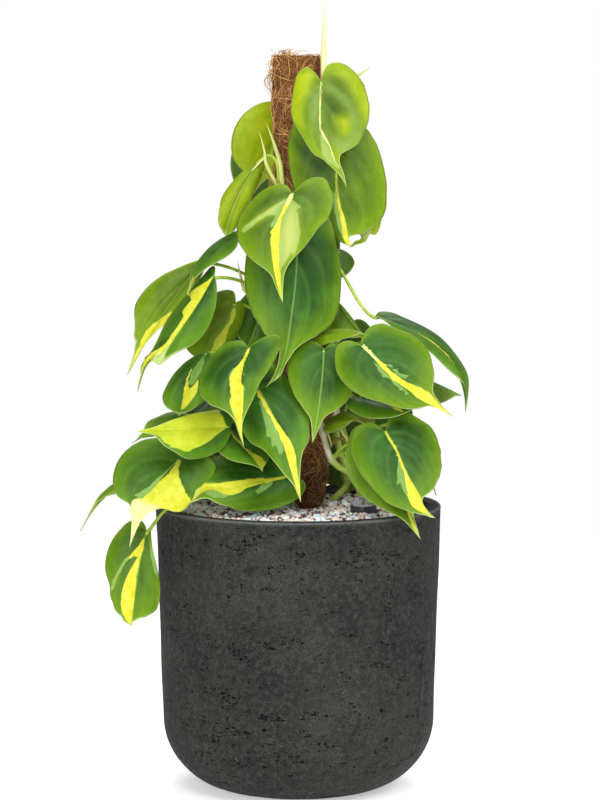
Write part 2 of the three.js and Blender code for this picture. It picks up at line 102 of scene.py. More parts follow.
def makePiece(name, points, faces, material, node, smooth=True, marks=None):
    # points in one place are merged, and a quad with two corners in one place turns into a triangle
    points = np.asarray(points, float)
    places, first, mergedAs = np.unique(np.round(points, 4), axis=0, return_index=True, return_inverse=True)
    faces = mergedAs.reshape(-1)[np.asarray(faces)]
    same = faces == np.roll(faces, 1, axis=1)
    whole = faces[~same.any(1)].tolist()
    if faces.shape[1] == 4:
        for corner in range(4):
            rows = faces[same[:, corner] & (same.sum(1) == 1)]
            rows = np.delete(rows, corner, axis=1)
            open3 = (rows != np.roll(rows, 1, axis=1)).all(1)
            whole += rows[open3].tolist()
    mesh = bpy.data.meshes.new(name)
    mesh.from_pydata((places * metre).tolist(), [], whole)
    for key, values in (marks or {}).items():
        layer = mesh.attributes.new(key, "FLOAT", "POINT")
        layer.data.foreach_set("value", np.broadcast_to(values, len(points)).astype(np.float32)[first])
    mesh.polygons.foreach_set("use_smooth", np.full(len(mesh.polygons), smooth))
    mesh.materials.append(material)
    mesh.update()
    piece = bpy.data.objects.new(name, mesh)
    scene.collection.objects.link(piece)
    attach(piece, "root")
    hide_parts(node)


def joined(parts):  # several (points, faces, marks) as one, each one's faces counted on from the last
    points, faces, marks, count = [], [], {}, 0
    for p, f, m in parts:
        points.append(p)
        faces.append(f + count)
        count += len(p)
        for key, values in m.items():
            marks.setdefault(key, []).append(np.broadcast_to(values, len(p)))
    return np.vstack(points), np.vstack(faces), {key: np.concatenate(v) for key, v in marks.items()}


def smoothPath(points, count):
    # Catmull and Rom's curve: each span is the cubic given by its two ends and their two neighbours
    p = np.asarray(points, float)
    ends = np.vstack([2 * p[0] - p[1], p, 2 * p[-1] - p[-2]])
    u = np.linspace(0, len(p) - 1, count)
    k = np.minimum(u.astype(int), len(p) - 2)
    t = (u - k)[:, None]
    a, b, c, d = ends[k], ends[k + 1], ends[k + 2], ends[k + 3]
    return 0.5 * (2 * b + (c - a) * t + (2 * a - 5 * b + 4 * c - d) * t ** 2
                  + (3 * b - a - 3 * c + d) * t ** 3)


def tubes(paths, radius, sides):
    # rings square to each path; paths is (how many, steps, 3), and each tube closes on its path's two ends
    many, steps = paths.shape[:2]
    along = unit(np.gradient(paths, axis=1))
    guide = np.zeros((many, 1, 3))
    np.put_along_axis(guide, np.argmin(np.ptp(paths, axis=1), -1)[:, None, None], 1.0, -1)
    first = unit(np.cross(along, guide))
    second = np.cross(along, first)
    turn = np.arange(sides)[:, None] * 2 * np.pi / sides
    ring = first[:, :, None] * np.cos(turn) + second[:, :, None] * np.sin(turn)
    rings = paths[:, :, None] + np.broadcast_to(radius, (many, steps))[:, :, None, None] * ring
    ends = np.repeat(paths[:, [0, -1], None], sides, 2)
    rings = np.concatenate([ends[:, :1], rings, ends[:, 1:]], 1)
    faces = gridFaces(steps + 2, sides, wrap=True)
    faces = faces + np.arange(many)[:, None, None] * (steps + 2) * sides
    return rings.reshape(-1, 3), faces.reshape(-1, 4)


def turned(profile, segments, x=0.0, y=0.0):  # (radius, height) pairs turned about an upright axis
    r, z = np.asarray(profile, float).T
    turn = np.arange(segments) * 2 * np.pi / segments
    ring = np.stack([x + r[:, None] * np.cos(turn), y + r[:, None] * np.sin(turn),
                     np.repeat(z[:, None], segments, 1)], -1)
    return ring.reshape(-1, 3), gridFaces(len(r), segments, wrap=True)


# Camera, light and floor
camera = {
    "place": (1.32, -2500, 554.6),
    "down": 5.49,  # degrees below level
    "lens": 140.26,  # for a 36 mm sensor along the photo's long side
}
studio = {
    "sky": 0.32,
    "softBoxes": [  # place and size in metres, then watts
        ((-0.35, -2.1, 2.5), 1.3, 35),
        ((1.5, -1.6, 2.0), 1.4, 34),
        ((-0.5, -2.4, 0.8), 1.2, 24),
        ((0.2, 1.7, 2.5), 1.8, 30),
    ],
    "aim": (0, 0, 0.33),
    "cardReach": 1500,  # radius of the round white card that the pot stands on
    "cardGlow": 0.45,  # light that the card gives off, so that it melts into the backdrop
}


def makeCamera():  # level with the plant's top and tipped down a little
    data = bpy.data.cameras.new("camera")
    data.lens = camera["lens"]
    data.sensor_width = 36
    data.clip_end = 60
    item = bpy.data.objects.new("camera", data)
    item.location = [v * metre for v in camera["place"]]
    item.rotation_euler = (math.radians(90 - camera["down"]), 0, 0)
    scene.collection.objects.link(item)
    scene.camera = item


def makeLight():  # a plain white surround and round soft boxes, each turned to face the aim
    scene.world = bpy.data.worlds.new("softWhiteStudio")
    scene.world.use_nodes = True
    tree = scene.world.node_tree
    seen = add(tree, "LightPath", "Is Camera Ray")
    level = add(tree, "MapRange", in0=seen, in3=studio["sky"], in4=1.0)  # the backdrop itself stays white
    feed(tree, tree.nodes["Background"], Color=(1, 1, 1, 1), Strength=level)
    for number, (place, size, power) in enumerate(studio["softBoxes"]):
        data = bpy.data.lights.new("softBox%d" % number, "AREA")
        data.shape = "DISK"
        data.size = size
        data.energy = power
        box = bpy.data.objects.new("softBox%d" % number, data)
        box.location = place
        aim = np.array(studio["aim"]) - place
        box.rotation_euler = (math.atan2(math.hypot(aim[0], aim[1]), -aim[2]), 0, math.atan2(-aim[0], aim[1]))
        scene.collection.objects.link(box)


def makeFloor():  # one round sheet of card, just under the pot
    card = startMaterial("mattWhiteCard", Roughness=0.95, Base_Color=linear("#fbfbfb"),
                         Emission_Color=(1, 1, 1, 1), Emission_Strength=studio["cardGlow"])[0]
    mesh = bpy.data.meshes.new("floor")
    sides = 96
    points = turned([(studio["cardReach"], -0.4)], sides)[0]
    mesh.from_pydata((points * metre).tolist(), [], [list(range(sides))])
    mesh.materials.append(card)
    floor = bpy.data.objects.new("floor", mesh)
    scene.collection.objects.link(floor)


makeCamera()
makeLight()
makeFloor()
print("camera, light and floor made")


# Pot
pot = {
    "height": 230, "rim": 115, "wall": 11, "floor": 12, "corner": 58.5, "footWall": 109.7, "edge": 1.6,
    "columns": 400, "seed": 5,
    "pitRows": 120, "pitsInRow": 5, "pitSize": (0.5, 1.35), "pitLonger": (1.2, 2.6), "pitDeepest": 1.4,
    "rowSpread": (2, 13), "rowWander": 1.6,
    # depth of each ripple, its waves in a turn, and its radians for a millimetre of height
    "ripples": [(0.16, 7, 1 / 23), (0.12, 13, -1 / 11)],
}


def castConcrete():
    # Fibre concrete cast in a mould and rubbed with anthracite: matt and sandy, with pinholes in level rows,
    # painted near black as the shade inside them. A cloudy ground comes first, then coats, each laid on by
    # the share that its own noise gives.
    material, tree, principled = startMaterial("castFibreConcrete", Roughness=0.72, IOR=1.5,
                                               Specular_IOR_Level=0.1)
    point = add(tree, "TexCoord", "Object")
    cloud = add(tree, "TexNoise", in2=11.0, in3=6.0, in4=0.65, Vector=point)
    fine = add(tree, "TexNoise", in2=230.0, in3=3.0, in4=0.6, Vector=point)
    grit = add(tree, "TexNoise", in2=1000.0, in3=2.0, in4=0.7, Vector=point)
    tall = add(tree, "Mapping", Vector=point, Scale=(90, 90, 14))
    streak = add(tree, "TexNoise", in2=1.0, in3=5.0, in4=0.7, Vector=tall)
    tone = add(tree, "MapRange", in0=cloud, in1=0.34, in2=0.68)
    base = add(tree, "Mix", 2, data_type="RGBA", in0=tone, in6=linear("#181a1b"), in7=linear("#353631"))
    for field, low, high, first, last, colour in (
            (fine, 0.4, 0.75, 0.0, 0.6, "#4a4c47"), (grit, 0.34, 0.52, 0.8, 0.0, "#191b1b"),
            (grit, 0.58, 0.78, 0.0, 0.3, "#7c7e77"), (streak, 0.62, 0.76, 0.0, 0.35, "#666962")):
        share = add(tree, "MapRange", in0=field, in1=low, in2=high, in3=first, in4=last)
        base = add(tree, "Mix", 2, data_type="RGBA", in0=share, in6=base, in7=linear(colour))
    # white specks: the middles of small cells, where a slower noise is high
    specks = add(tree, "TexVoronoi", Vector=point, Scale=300.0)
    specks = add(tree, "MapRange", in0=specks, in1=0.10, in2=0.16, in3=1.0, in4=0.0)
    some = add(tree, "TexNoise", in2=60.0, in3=1.0, Vector=point)
    some = add(tree, "MapRange", in0=some, in1=0.66, in2=0.72, in4=0.3)
    white = add(tree, "Math", operation="MULTIPLY", in0=specks, in1=some)
    # pinholes: the middles of cells in two sizes, drawn more often where a level noise is high, sunk by the
    # bump and painted near black as shade
    flat = add(tree, "Mapping", Vector=point, Scale=(1.0, 1.0, 2.2))
    often = add(tree, "TexNoise", in2=38.0, in3=4.0, in4=0.6, Vector=flat)
    often = add(tree, "MapRange", in0=often, in1=0.54, in2=0.63, in3=0.022, in4=0.6)
    ragged = add(tree, "TexNoise", 1, in2=500.0, in3=2.0, Vector=point)
    ragged = add(tree, "VectorMath", operation="MULTIPLY_ADD", in0=ragged, in1=(0.003,) * 3, in2=point)
    hole = 0.0
    for level, scale in ((2.2, 240.0), (1.8, 420.0)):
        place = add(tree, "Mapping", Vector=ragged, Scale=(1.0, 1.0, level))
        cells = add(tree, "TexVoronoi", Vector=place, Scale=scale).node
        pick = add(tree, "SeparateColor", Color=cells.outputs["Color"]).node
        there = add(tree, "Math", operation="LESS_THAN", in0=pick.outputs[0], in1=often)
        reach = add(tree, "MapRange", in0=pick.outputs[1], in3=0.17, in4=0.56)
        inside = add(tree, "Math", operation="SUBTRACT", in0=reach, in1=cells.outputs["Distance"])
        inside = add(tree, "MapRange", in0=inside, in1=0.0, in2=0.03)
        inside = add(tree, "Math", operation="MULTIPLY", in0=inside, in1=there)
        hole = add(tree, "Math", operation="MAXIMUM", in0=hole, in1=inside)
    carved, rimHighlight = (add(tree, "Attribute", "Fac", attribute_name=name) for name in ("pitShade", "rimEdgeHighlight"))
    carved, rimHighlight = (add(tree, "Math", operation="MULTIPLY", in0=field, in1=0.5) for field in (carved, rimHighlight))
    pitShade = add(tree, "Math", operation="MAXIMUM", in0=hole, in1=carved)
    # white specks are the concrete's own; pitShade paints the pits near black as the shade in them, and the
    # rim's outer edge gets a painted highlight
    for share, colour in ((white, "#b9bab4"), (pitShade, "#030303"), (rimHighlight, "#80817e")):
        base = add(tree, "Mix", 2, data_type="RGBA", in0=share, in6=base, in7=linear(colour))
    rise = add(tree, "Math", operation="MULTIPLY_ADD", in0=hole, in1=-2.5, in2=fine)
    rise = add(tree, "Math", operation="MULTIPLY_ADD", in0=grit, in1=0.6, in2=rise)
    normal = add(tree, "Bump", Height=rise, Distance=0.0009, Strength=1.0)
    feed(tree, principled, Base_Color=base, Normal=normal)
    return material


def potProfile():
    # outside from the axis up to the rim, over it and down the inside, with arcs at foot and edges, and how
    # many of its places lie on the outside below the rim's edge
    corner, edge, wall = pot["corner"], pot["edge"], pot["wall"]
    quarter = np.linspace(-np.pi / 2, 0, 46)
    foot = np.c_[pot["footWall"] - corner + corner * np.cos(quarter), corner + corner * np.sin(quarter)]
    flat = np.c_[np.linspace(0, foot[0, 0], 7)[:-1], np.zeros(6)]
    rise = np.linspace(0, 1, 116)[1:, None]
    outside = foot[-1] + rise * (np.array([pot["rim"], pot["height"] - edge]) - foot[-1])
    bend = np.linspace(0, np.pi / 2, 6)[1:]
    outer = np.c_[pot["rim"] - edge + edge * np.cos(bend), pot["height"] - edge + edge * np.sin(bend)]
    inner = outer[::-1] * [-1, 1] + [2 * pot["rim"] - wall, 0]
    inner = np.vstack([inner, [pot["rim"] - wall, pot["height"] - edge]])
    top = np.linspace(outer[-1], inner[0], 5)[1:-1]
    back = corner - wall
    low = np.array([pot["footWall"] - wall, pot["floor"] + back])
    inside = inner[-1] + np.linspace(0, 1, 12)[1:, None] * (low - inner[-1])
    arc = np.linspace(0, -np.pi / 2, 9)[1:]
    bowl = np.c_[low[0] - back + back * np.cos(arc), pot["floor"] + back + back * np.sin(arc)]
    profile = np.vstack([flat, foot, outside, outer, top, inner, inside, bowl, [[0, pot["floor"]]]])
    return profile, len(flat) + len(foot) + len(outside) - 1


def pitDepth(angle, z):
    # short level rows of flat oval dents: each is a half ellipsoid, and the deepest one wins
    seeded = np.random.default_rng(pot["seed"])
    depth = np.zeros(np.shape(angle))
    around = 2 * np.pi * pot["rim"]
    for row in range(pot["pitRows"]):
        turn, middle = seeded.uniform(-np.pi, np.pi), seeded.uniform(8, 223)
        spread = seeded.uniform(*pot["rowSpread"])
        for hole in range(seeded.integers(1, pot["pitsInRow"] + 1)):
            across = (angle - turn) * pot["rim"] - seeded.normal() * spread
            across = (across + around / 2) % around - around / 2
            up = z - middle - seeded.normal() * pot["rowWander"]
            size, longer = seeded.uniform(*pot["pitSize"]), seeded.uniform(*pot["pitLonger"])
            shape = 1 - (across / (size * longer)) ** 2 - (up / size) ** 2
            depth = np.maximum(depth, np.sqrt(np.clip(shape, 0, 1)) * min(size, pot["pitDeepest"]))
    return depth


def makePot():
    # The turned profile, moved square to its wall by the pits and by slow ripples that die out under the
    # foot. The edge mark is a bell curve of height round the rim's outer edge, for a painted highlight there;
    # the pit mark, the dents' depth, carries painted shade into them.
    profile, below = potProfile()
    points, faces = turned(profile, pot["columns"])
    x, y, z = points.T
    angle, radius = np.arctan2(y, x), np.hypot(x, y)
    sole = pot["footWall"] - pot["corner"]
    outside = (np.arange(len(points)) // pot["columns"] < below) & (radius > sole + 1)
    depth = np.where(outside, pitDepth(angle, z), 0)
    sway = sum(deep * np.sin(waves * angle + turn * z) for deep, waves, turn in pot["ripples"])
    inward = np.where(outside, depth - sway * np.clip((radius - 52) / 50, 0, 1), 0)
    foot = np.clip((pot["corner"] - z) / pot["corner"], 0, 1)
    level = np.sqrt(1 - foot ** 2)
    points -= np.c_[np.cos(angle) * level, np.sin(angle) * level, -foot] * inward[:, None]
    # painted highlight: a lighter band round the rim's outer edge
    edge = np.exp(-((z - pot["height"] + 0.8) / 0.8) ** 2) * (radius > pot["rim"] - 2.2)
    marks = {"pitShade": np.clip(depth * 1.5, 0, 1), "rimEdgeHighlight": edge}
    makePiece("potShell", points, faces, castConcrete(), "pot", marks=marks)


makePot()
print("pot made")


# Measures that several pieces share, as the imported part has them
pole = {"top": 590, "topX": -1.5, "low": 227, "lowX": 6, "lowZ": 255, "gap": 23.4}
gauge = {"x": 52, "y": -23, "radius": 10.5, "shaft": 6, "lip": 1.8, "slack": 0.3, "foot": 150, "seat": 226.6,
         "ring": 232, "dial": 232.6, "dome": 240}
stopper = {"x": 28, "y": 86, "radius": 7, "shaft": 4.5, "foot": 196, "seat": 226.6, "top": 235, "crown": 4.5}


def poleX(z):  # the pole leans a little to the left as it rises
    return pole["lowX"] + (pole["topX"] - pole["lowX"]) * (z - pole["lowZ"]) / (pole["top"] - pole["lowZ"])


def beside(angle, z, reach):  # a place beside the pole, at an angle from the front towards the right
    turn = math.radians(angle)
    return (poleX(z) + reach * math.sin(turn), -reach * math.cos(turn), z)


gap = pole["gap"]

# Each leaf: the height at which its stalk leaves the stem, then its blade's base, the bend that its midrib is
# drawn towards, its tip, and its left and right margins at the widest place. Edges, patches and what the
# midrib sways are in hundredths: across in half widths, along in blade lengths. An edge runs from the notch
# to the tip.
# Deep patches are partly the blade's own darker green and partly painted shadow cast by the leaves above.
# dim is how far a blade in shade has its gold painted greener, standing in for light through it.
# greySheen patches are painted sheen: the grey green where the waxy skin reflects the sky.
crownLeaves = [
    dict(stem=556, base=(18, -44, 569), bend=(17, -56, 524), tip=(38, -50, 486), left=(-4, -44, 549),
         right=(54, -40, 547), lobe=(0.75, 1.1), neck=0.73, full=(0, -0.5), hook=2, young=(0.28, 0.62),
         sway=[(8, -4), (20, -7), (35, -14), (43, -18), (49, -11), (56, 0), (70, 1), (85, -2)],
         edges=[[(5, -1), (12, -6), (24, -10), (45, -14), (72, -10), (86, -5), (95, 3), (102, 13), (109, 25),
         (106, 36), (98, 41), (88, 48), (80, 55), (70, 63), (58, 68), (40, 71), (31, 77), (20, 84), (10, 90),
         (3, 96)], [(4, -6), (10, -12), (20, -17), (34, -19), (50, -19), (65, -16), (78, -11), (92, -3),
         (100, 5), (106, 18), (102, 30), (94, 38), (82, 46), (68, 54), (50, 59), (35, 62), (20, 66), (12, 72),
         (6, 79), (3, 88)]],
         gold=[[(-3, 0), (0, 0), (-1, 10), (-5, 20), (-11, 33), (-15, 42), (-8, 49), (2, 56), (3, 68),
         (1, 80), (-2, 80), (0, 68), (-3, 57), (-13, 50), (-19, 43), (-17, 35), (-10, 22), (-5, 10)]],
         pale=[[(-19, 45), (-10, 52), (-3, 60), (0, 72), (-4, 80), (-20, 76), (-33, 70), (-32, 60),
         (-24, 52)], [(-16, 66), (-10, 72), (-4, 84), (-14, 78)]],
         cream=[[(-30, -10), (20, -10), (20, 90), (-30, 90)]],
         lime=[[(-100, -10), (-50, -14), (-20, -8), (-40, 10), (-70, 20), (-80, 38), (-110, 35)], [(10, -15),
         (50, -25), (95, -10), (120, 20), (110, 33), (84, 24), (70, 8), (50, -4)], [(18, 30), (40, 26),
         (60, 30), (55, 44), (35, 46)]],
         deep=[[(3, 10), (20, 12), (45, 22), (50, 30), (20, 32), (6, 40), (0, 25)]],
         greySheen=[[(8, 0), (50, 12), (75, 26), (80, 45), (50, 60), (20, 64), (10, 50), (35, 52), (66, 42),
         (60, 22), (30, 10)], [(-8, 5), (-35, 12), (-40, 30), (-30, 50), (-20, 40), (-12, 20)]]),
    dict(stem=500, base=(30, -30, 525), bend=(28, -42, 473), tip=(41, -34, 440), left=(-10, -26, 513),
         right=(70, -22, 492), lobe=(0.6, 0.6), neck=0.93, full=(0.8, 0.3), young=(0.18, 0.44),
         edges=[[(20, -7), (45, -9), (70, -5), (86, 4), (93, 15), (96, 26), (95, 38), (93, 50), (90, 62),
         (85, 74), (75, 85), (60, 93), (42, 98), (25, 102), (10, 103)], [(20, -9), (45, -14), (62, -12),
         (75, -3), (85, 5), (93, 15), (98, 25), (100, 33), (98, 42), (95, 52), (87, 61), (74, 69), (60, 75),
         (46, 80), (33, 84), (20, 86), (8, 88), (3, 91), (3, 96)]],
         gold=[[(-3, 28), (1, 28), (0, 36), (0, 45), (2, 55), (4, 65), (6, 75), (4, 83), (2, 90), (3, 96),
         (0, 103), (-8, 100), (-10, 93), (-7, 86), (-4, 80), (-4, 70), (-4, 60), (-3, 50), (-4, 40)]],
         pale=[[(-4, 42), (-10, 50), (-13, 65), (-14, 80), (-10, 93), (-4, 94), (-3, 70)]],
         deep=[[(-95, 8), (-50, 18), (-10, 25), (-8, 36), (-40, 35), (-85, 22)], [(-60, 105), (-15, 105),
         (-15, 85), (-40, 90)]]),
    dict(stem=470, base=(44, -8, 507), bend=(43, -14, 476), tip=(41, -20, 438), left=(25, -4, 479),
         right=(72, -6, 473), neck=0.9, full=(0.5, 0.8), young=(0.7, 0.9), wave=0.3,
         sway=[(50, 5), (72, 20), (80, 38), (86, 35), (90, 20), (95, 8)],
         edges=[[(10, -8), (40, -10), (70, 0), (80, 20), (70, 45), (45, 63), (15, 73), (-5, 78), (-20, 80),
         (-30, 83), (-32, 86), (-24, 88), (-14, 90), (-7, 94), (-1, 98)], [(7, -6), (19, -13), (40, -16),
         (64, -14), (85, -6), (93, 5), (94, 15), (94, 27), (91, 36), (86, 45), (82, 54), (78, 63), (71, 70),
         (62, 74), (55, 74), (49, 78), (45, 83), (38, 87), (29, 90), (18, 93), (9, 97)]],
         pale=[[(20, 74), (42, 64), (56, 68), (60, 72), (50, 75), (45, 82), (30, 85), (20, 80)]]),
    dict(stem=360, base=(29, -14, 394), bend=(37, -22, 382), tip=(51, -26, 366), left=(22, -20, 372),
         right=(45, -18, 379), neck=0.9, young=(0.1, 0.4)),
    dict(stem=425, base=(61, -38, 385), bend=(134, -52, 362), tip=(132, -52, 310), left=(94, -58, 363),
         right=(100, -16, 374), neck=0.85,
         edges=[[(30, 0), (60, 5), (85, 15), (100, 32), (100, 45), (90, 60), (70, 72), (40, 84),
         (15, 93)]] * 2,
         gold=[[(-12, 25), (3, 25), (8, 40), (10, 50), (8, 60), (0, 72), (-15, 70), (-22, 60), (-24, 50),
         (-20, 38)]]),
    dict(stem=344, base=(50, -76, 364), bend=(79, -96, 335), tip=(121, -92, 310), left=(43, -84, 335),
         right=(89, -70, 373), lobe=(0.7, 0.6), neck=0.78, full=(0.9, 0.4), young=(0, 0.35),
         over=[(42, -30, 360), (52, -56, 365)],
         edges=[[(3, -4), (9, -8), (17, -11), (31, -13), (47, -13), (63, -11), (80, -7), (94, -2), (106, 4),
         (114, 11), (118, 20), (118, 28), (114, 36), (106, 43), (96, 49), (86, 56), (78, 62), (70, 67),
         (57, 72), (43, 76), (27, 78), (14, 80), (7, 85), (3, 92)], [(5, -3), (12, -5), (21, -6), (31, -7),
         (41, -7), (51, -6), (63, -3), (71, 0), (80, 8), (90, 16), (98, 23), (101, 30), (100, 37), (94, 44),
         (86, 50), (75, 55), (60, 62), (47, 66), (36, 69), (25, 72), (18, 76), (13, 81), (7, 87), (3, 94)]],
         gold=[[(-4, 0), (4, 0), (5, 8), (4, 18), (5, 28), (2, 35), (4, 43), (6, 52), (10, 57), (14, 64),
         (15, 71), (11, 77), (5, 85), (2, 95), (0, 100), (-3, 95), (-7, 82), (-12, 73), (-14, 67), (-11, 60),
         (-12, 55), (-13, 46), (-17, 43), (-10, 36), (-12, 32), (-8, 26), (-5, 18), (-3, 8)]],
         pale=[[(-8, 16), (-16, 20), (-20, 26), (-28, 28), (-20, 31), (-36, 35), (-23, 36), (-20, 42),
         (-28, 46), (-20, 50), (-29, 53), (-20, 56), (-29, 60), (-18, 61), (-14, 50), (-10, 30)], [(7, 28),
         (14, 30), (10, 34), (16, 38), (10, 40), (14, 44), (22, 49), (10, 48), (5, 40)]],
         cream=[[(-12, -2), (12, -2), (6, 18), (-6, 18)]]),
    dict(stem=316, base=(47, -50, 321), bend=(70, -62, 317), tip=(103, -62, 316), left=(59, -72, 306),
         right=(70, -40, 330), neck=0.9,
         gold=[[(-60, 70), (-52, 58), (-30, 50), (-20, 55), (-40, 64)]]),
]

leftLeaves = [
    dict(stem=470, base=(-5, -62, 482), bend=(-24, -76, 448), tip=(-12, -80, 398), left=(-46, -60, 460),
         right=(25, -66, 475), lobe=(0.7, 0.65), neck=0.74, young=(0.15, 0.42),
         edges=[[(3, -2), (10, -6), (22, -10), (42, -12), (62, -10), (80, -6), (92, 0), (100, 7), (104, 15),
         (105, 22), (102, 29), (98, 36), (92, 43), (82, 49), (70, 56), (59, 61), (46, 66), (33, 70), (20, 75),
         (13, 80), (8, 88), (3, 96)], [(5, -3), (13, -7), (23, -10), (36, -11), (49, -10), (62, -8), (72, -4),
         (80, 1), (88, 6), (98, 12), (105, 20), (108, 28), (106, 35), (101, 40), (92, 43), (82, 48), (72, 54),
         (62, 59), (49, 64), (36, 68), (23, 73), (15, 78), (10, 84), (5, 92)]],
         gold=[[(-5, 0), (5, 0), (9, 6), (7, 14), (4, 20), (1, 26), (2, 33), (3, 40), (4, 46), (5, 52),
         (5, 60), (6, 66), (6, 74), (5, 82), (2, 95), (0, 100), (-4, 88), (-8, 76), (-11, 66), (-14, 56),
         (-16, 46), (-15, 42), (-20, 39), (-13, 34), (-8, 27), (-5, 20), (-4, 10)]],
         pale=[[(5, 7), (20, 12), (29, 17), (39, 20), (30, 21), (27, 22), (35, 26), (42, 34), (46, 42),
         (48, 50), (46, 56), (42, 62), (38, 65), (33, 64), (31, 61), (27, 64), (20, 68), (14, 72), (5, 75),
         (0, 50), (0, 20)], [(2, 3), (-14, 7), (-30, 12), (-50, 18), (-68, 24), (-88, 30), (-89, 34),
         (-80, 36), (-70, 33), (-55, 28), (-38, 22), (-25, 21), (-17, 22), (-16, 26), (-21, 31), (-20, 35),
         (-12, 34), (-4, 30), (0, 20)]],
         cream=[[(-12, -2), (14, -2), (6, 12), (-6, 12)]],
         lime=[[(10, 12), (30, 20), (42, 34), (47, 50), (38, 65), (10, 70), (0, 40)], [(-10, 5), (-50, 18),
         (-85, 30), (-50, 28), (-20, 20)]]),
    dict(stem=478, base=(-32, -12, 507), bend=(-46, -24, 480), tip=(-57, -23, 446), left=(-61, -20, 477),
         right=(-34, -14, 484), lobe=(0.3, 0.3), neck=0.85, full=(0.3, 0.6), young=(0.6, 0.75),
         over=[(-17, -22, 505), (-24, -18, 511)],
         sway=[(12, -2), (30, -15), (45, -20), (60, -20), (75, -17), (87, -10)],
         edges=[[(15, -3), (40, -3), (65, 0), (85, 6), (97, 14), (102, 22), (99, 31), (92, 40), (83, 51),
         (73, 62), (57, 73), (38, 82), (24, 89), (12, 94)], [(20, -5), (50, -5), (80, -1), (95, 10),
         (100, 23), (98, 40), (93, 55), (83, 68), (70, 77), (45, 87), (20, 93), (4, 96)]],
         pale=[[(10, 0), (-2, 12), (-10, 30), (-14, 45), (-15, 60), (-13, 75), (-5, 95), (-12, 88), (-20, 75),
         (-25, 60), (-25, 45), (-20, 28), (-10, 12)]]),
    dict(stem=340, base=(-38, -86, 363), bend=(-56, -100, 328), tip=(-42, -104, 288), left=(-77, -84, 340),
         right=(-17, -88, 356), lobe=(0.8, 0.35), neck=0.74, young=(0, 0.22),
         edges=[[(4, -1), (10, -4), (18, -8), (26, -10), (40, -11), (54, -11), (67, -9), (79, -5), (88, 1),
         (93, 6), (97, 12), (100, 21), (99, 29), (93, 36), (86, 43), (74, 49), (60, 55), (43, 59), (31, 62),
         (20, 66), (11, 71), (6, 76), (3, 87)], [(10, -4), (30, -6), (55, -6), (80, -3), (93, 3), (100, 11),
         (101, 17), (98, 24), (92, 31), (81, 38), (71, 43), (62, 49), (56, 55), (45, 62), (35, 67), (27, 71),
         (18, 76), (11, 81), (6, 88), (3, 95)]],
         gold=[[(-3, 0), (3, 0), (6, 6), (7, 12), (4, 18), (8, 25), (10, 32), (13, 38), (20, 43), (22, 52),
         (21, 60), (19, 68), (13, 76), (5, 87), (0, 100), (-1, 88), (-2, 80), (-4, 73), (-10, 64), (-15, 56),
         (-13, 49), (-15, 42), (-20, 36), (-22, 30), (-20, 25), (-16, 20), (-8, 16), (-4, 11)]],
         pale=[[(5, 24), (12, 28), (20, 33), (15, 31), (8, 30)], [(7, 36), (17, 41), (29, 49), (20, 47),
         (13, 44)], [(-15, 18), (-22, 21), (-26, 26), (-23, 33), (-20, 30)]],
         deep=[[(-90, 0), (-10, 2), (-15, 20), (-40, 35), (-90, 30)],
               [(15, 5), (90, 5), (60, 35), (20, 30)]]),
    dict(stem=318, base=(-34, -60, 333), bend=(-10, -82, 299), tip=(2, -100, 244), left=(-47, -66, 301),
         right=(4, -62, 322), neck=0.82,
         edges=[[(7, -6), (19, -12), (40, -15), (64, -13), (85, -5), (98, 8), (100, 24), (97, 36), (88, 44),
         (72, 50), (59, 56), (49, 63), (39, 70), (29, 77), (19, 82), (9, 88), (4, 95)], [(7, -6), (19, -11),
         (40, -12), (64, -9), (80, -3), (87, 4), (87, 11), (88, 18), (90, 25), (94, 32), (95, 38), (90, 45),
         (80, 52), (70, 59), (57, 63), (42, 67), (29, 73), (19, 80), (12, 85), (7, 91), (2, 98)]],
         gold=[[(-10, 7), (-2, 7), (-1, 18), (0, 29), (3, 38), (9, 46), (18, 55), (20, 62), (19, 68),
         (14, 74), (9, 82), (6, 91), (0, 100), (-5, 91), (-6, 80), (-7, 68), (-5, 60), (-6, 50), (-7, 40),
         (-11, 29), (-12, 18)]],
         pale=[[(-10, 14), (-20, 17), (-25, 30), (-30, 38), (-42, 46), (-30, 47), (-37, 56), (-25, 54),
         (-24, 63), (-12, 62), (-6, 60), (-6, 40), (-10, 28)]],
         deep=[[(-90, 20), (-40, 20), (-35, 40), (-70, 45)],
               [(10, 2), (90, 5), (70, 40), (30, 50), (15, 30)]]),
    dict(stem=330, base=(-72, -48, 357), bend=(-88, -60, 337), tip=(-94, -58, 307), left=(-104, -50, 331),
         right=(-69, -58, 326), lobe=(0.4, 0.4), neck=0.9, dim=0.2, young=(0, 0.2),
         gold=[[(-20, 23), (-14, 25), (-13, 35), (-8, 45), (2, 56), (15, 55), (25, 50), (30, 36), (36, 33),
         (47, 38), (52, 47), (50, 58), (42, 67), (30, 77), (15, 87), (5, 89), (0, 80), (-6, 67), (-13, 52),
         (-18, 40), (-20, 30)]],
         pale=[[(0, 8), (20, 12), (30, 25), (28, 40), (20, 50), (10, 54), (0, 50), (-8, 40), (-10, 20)]]),
]

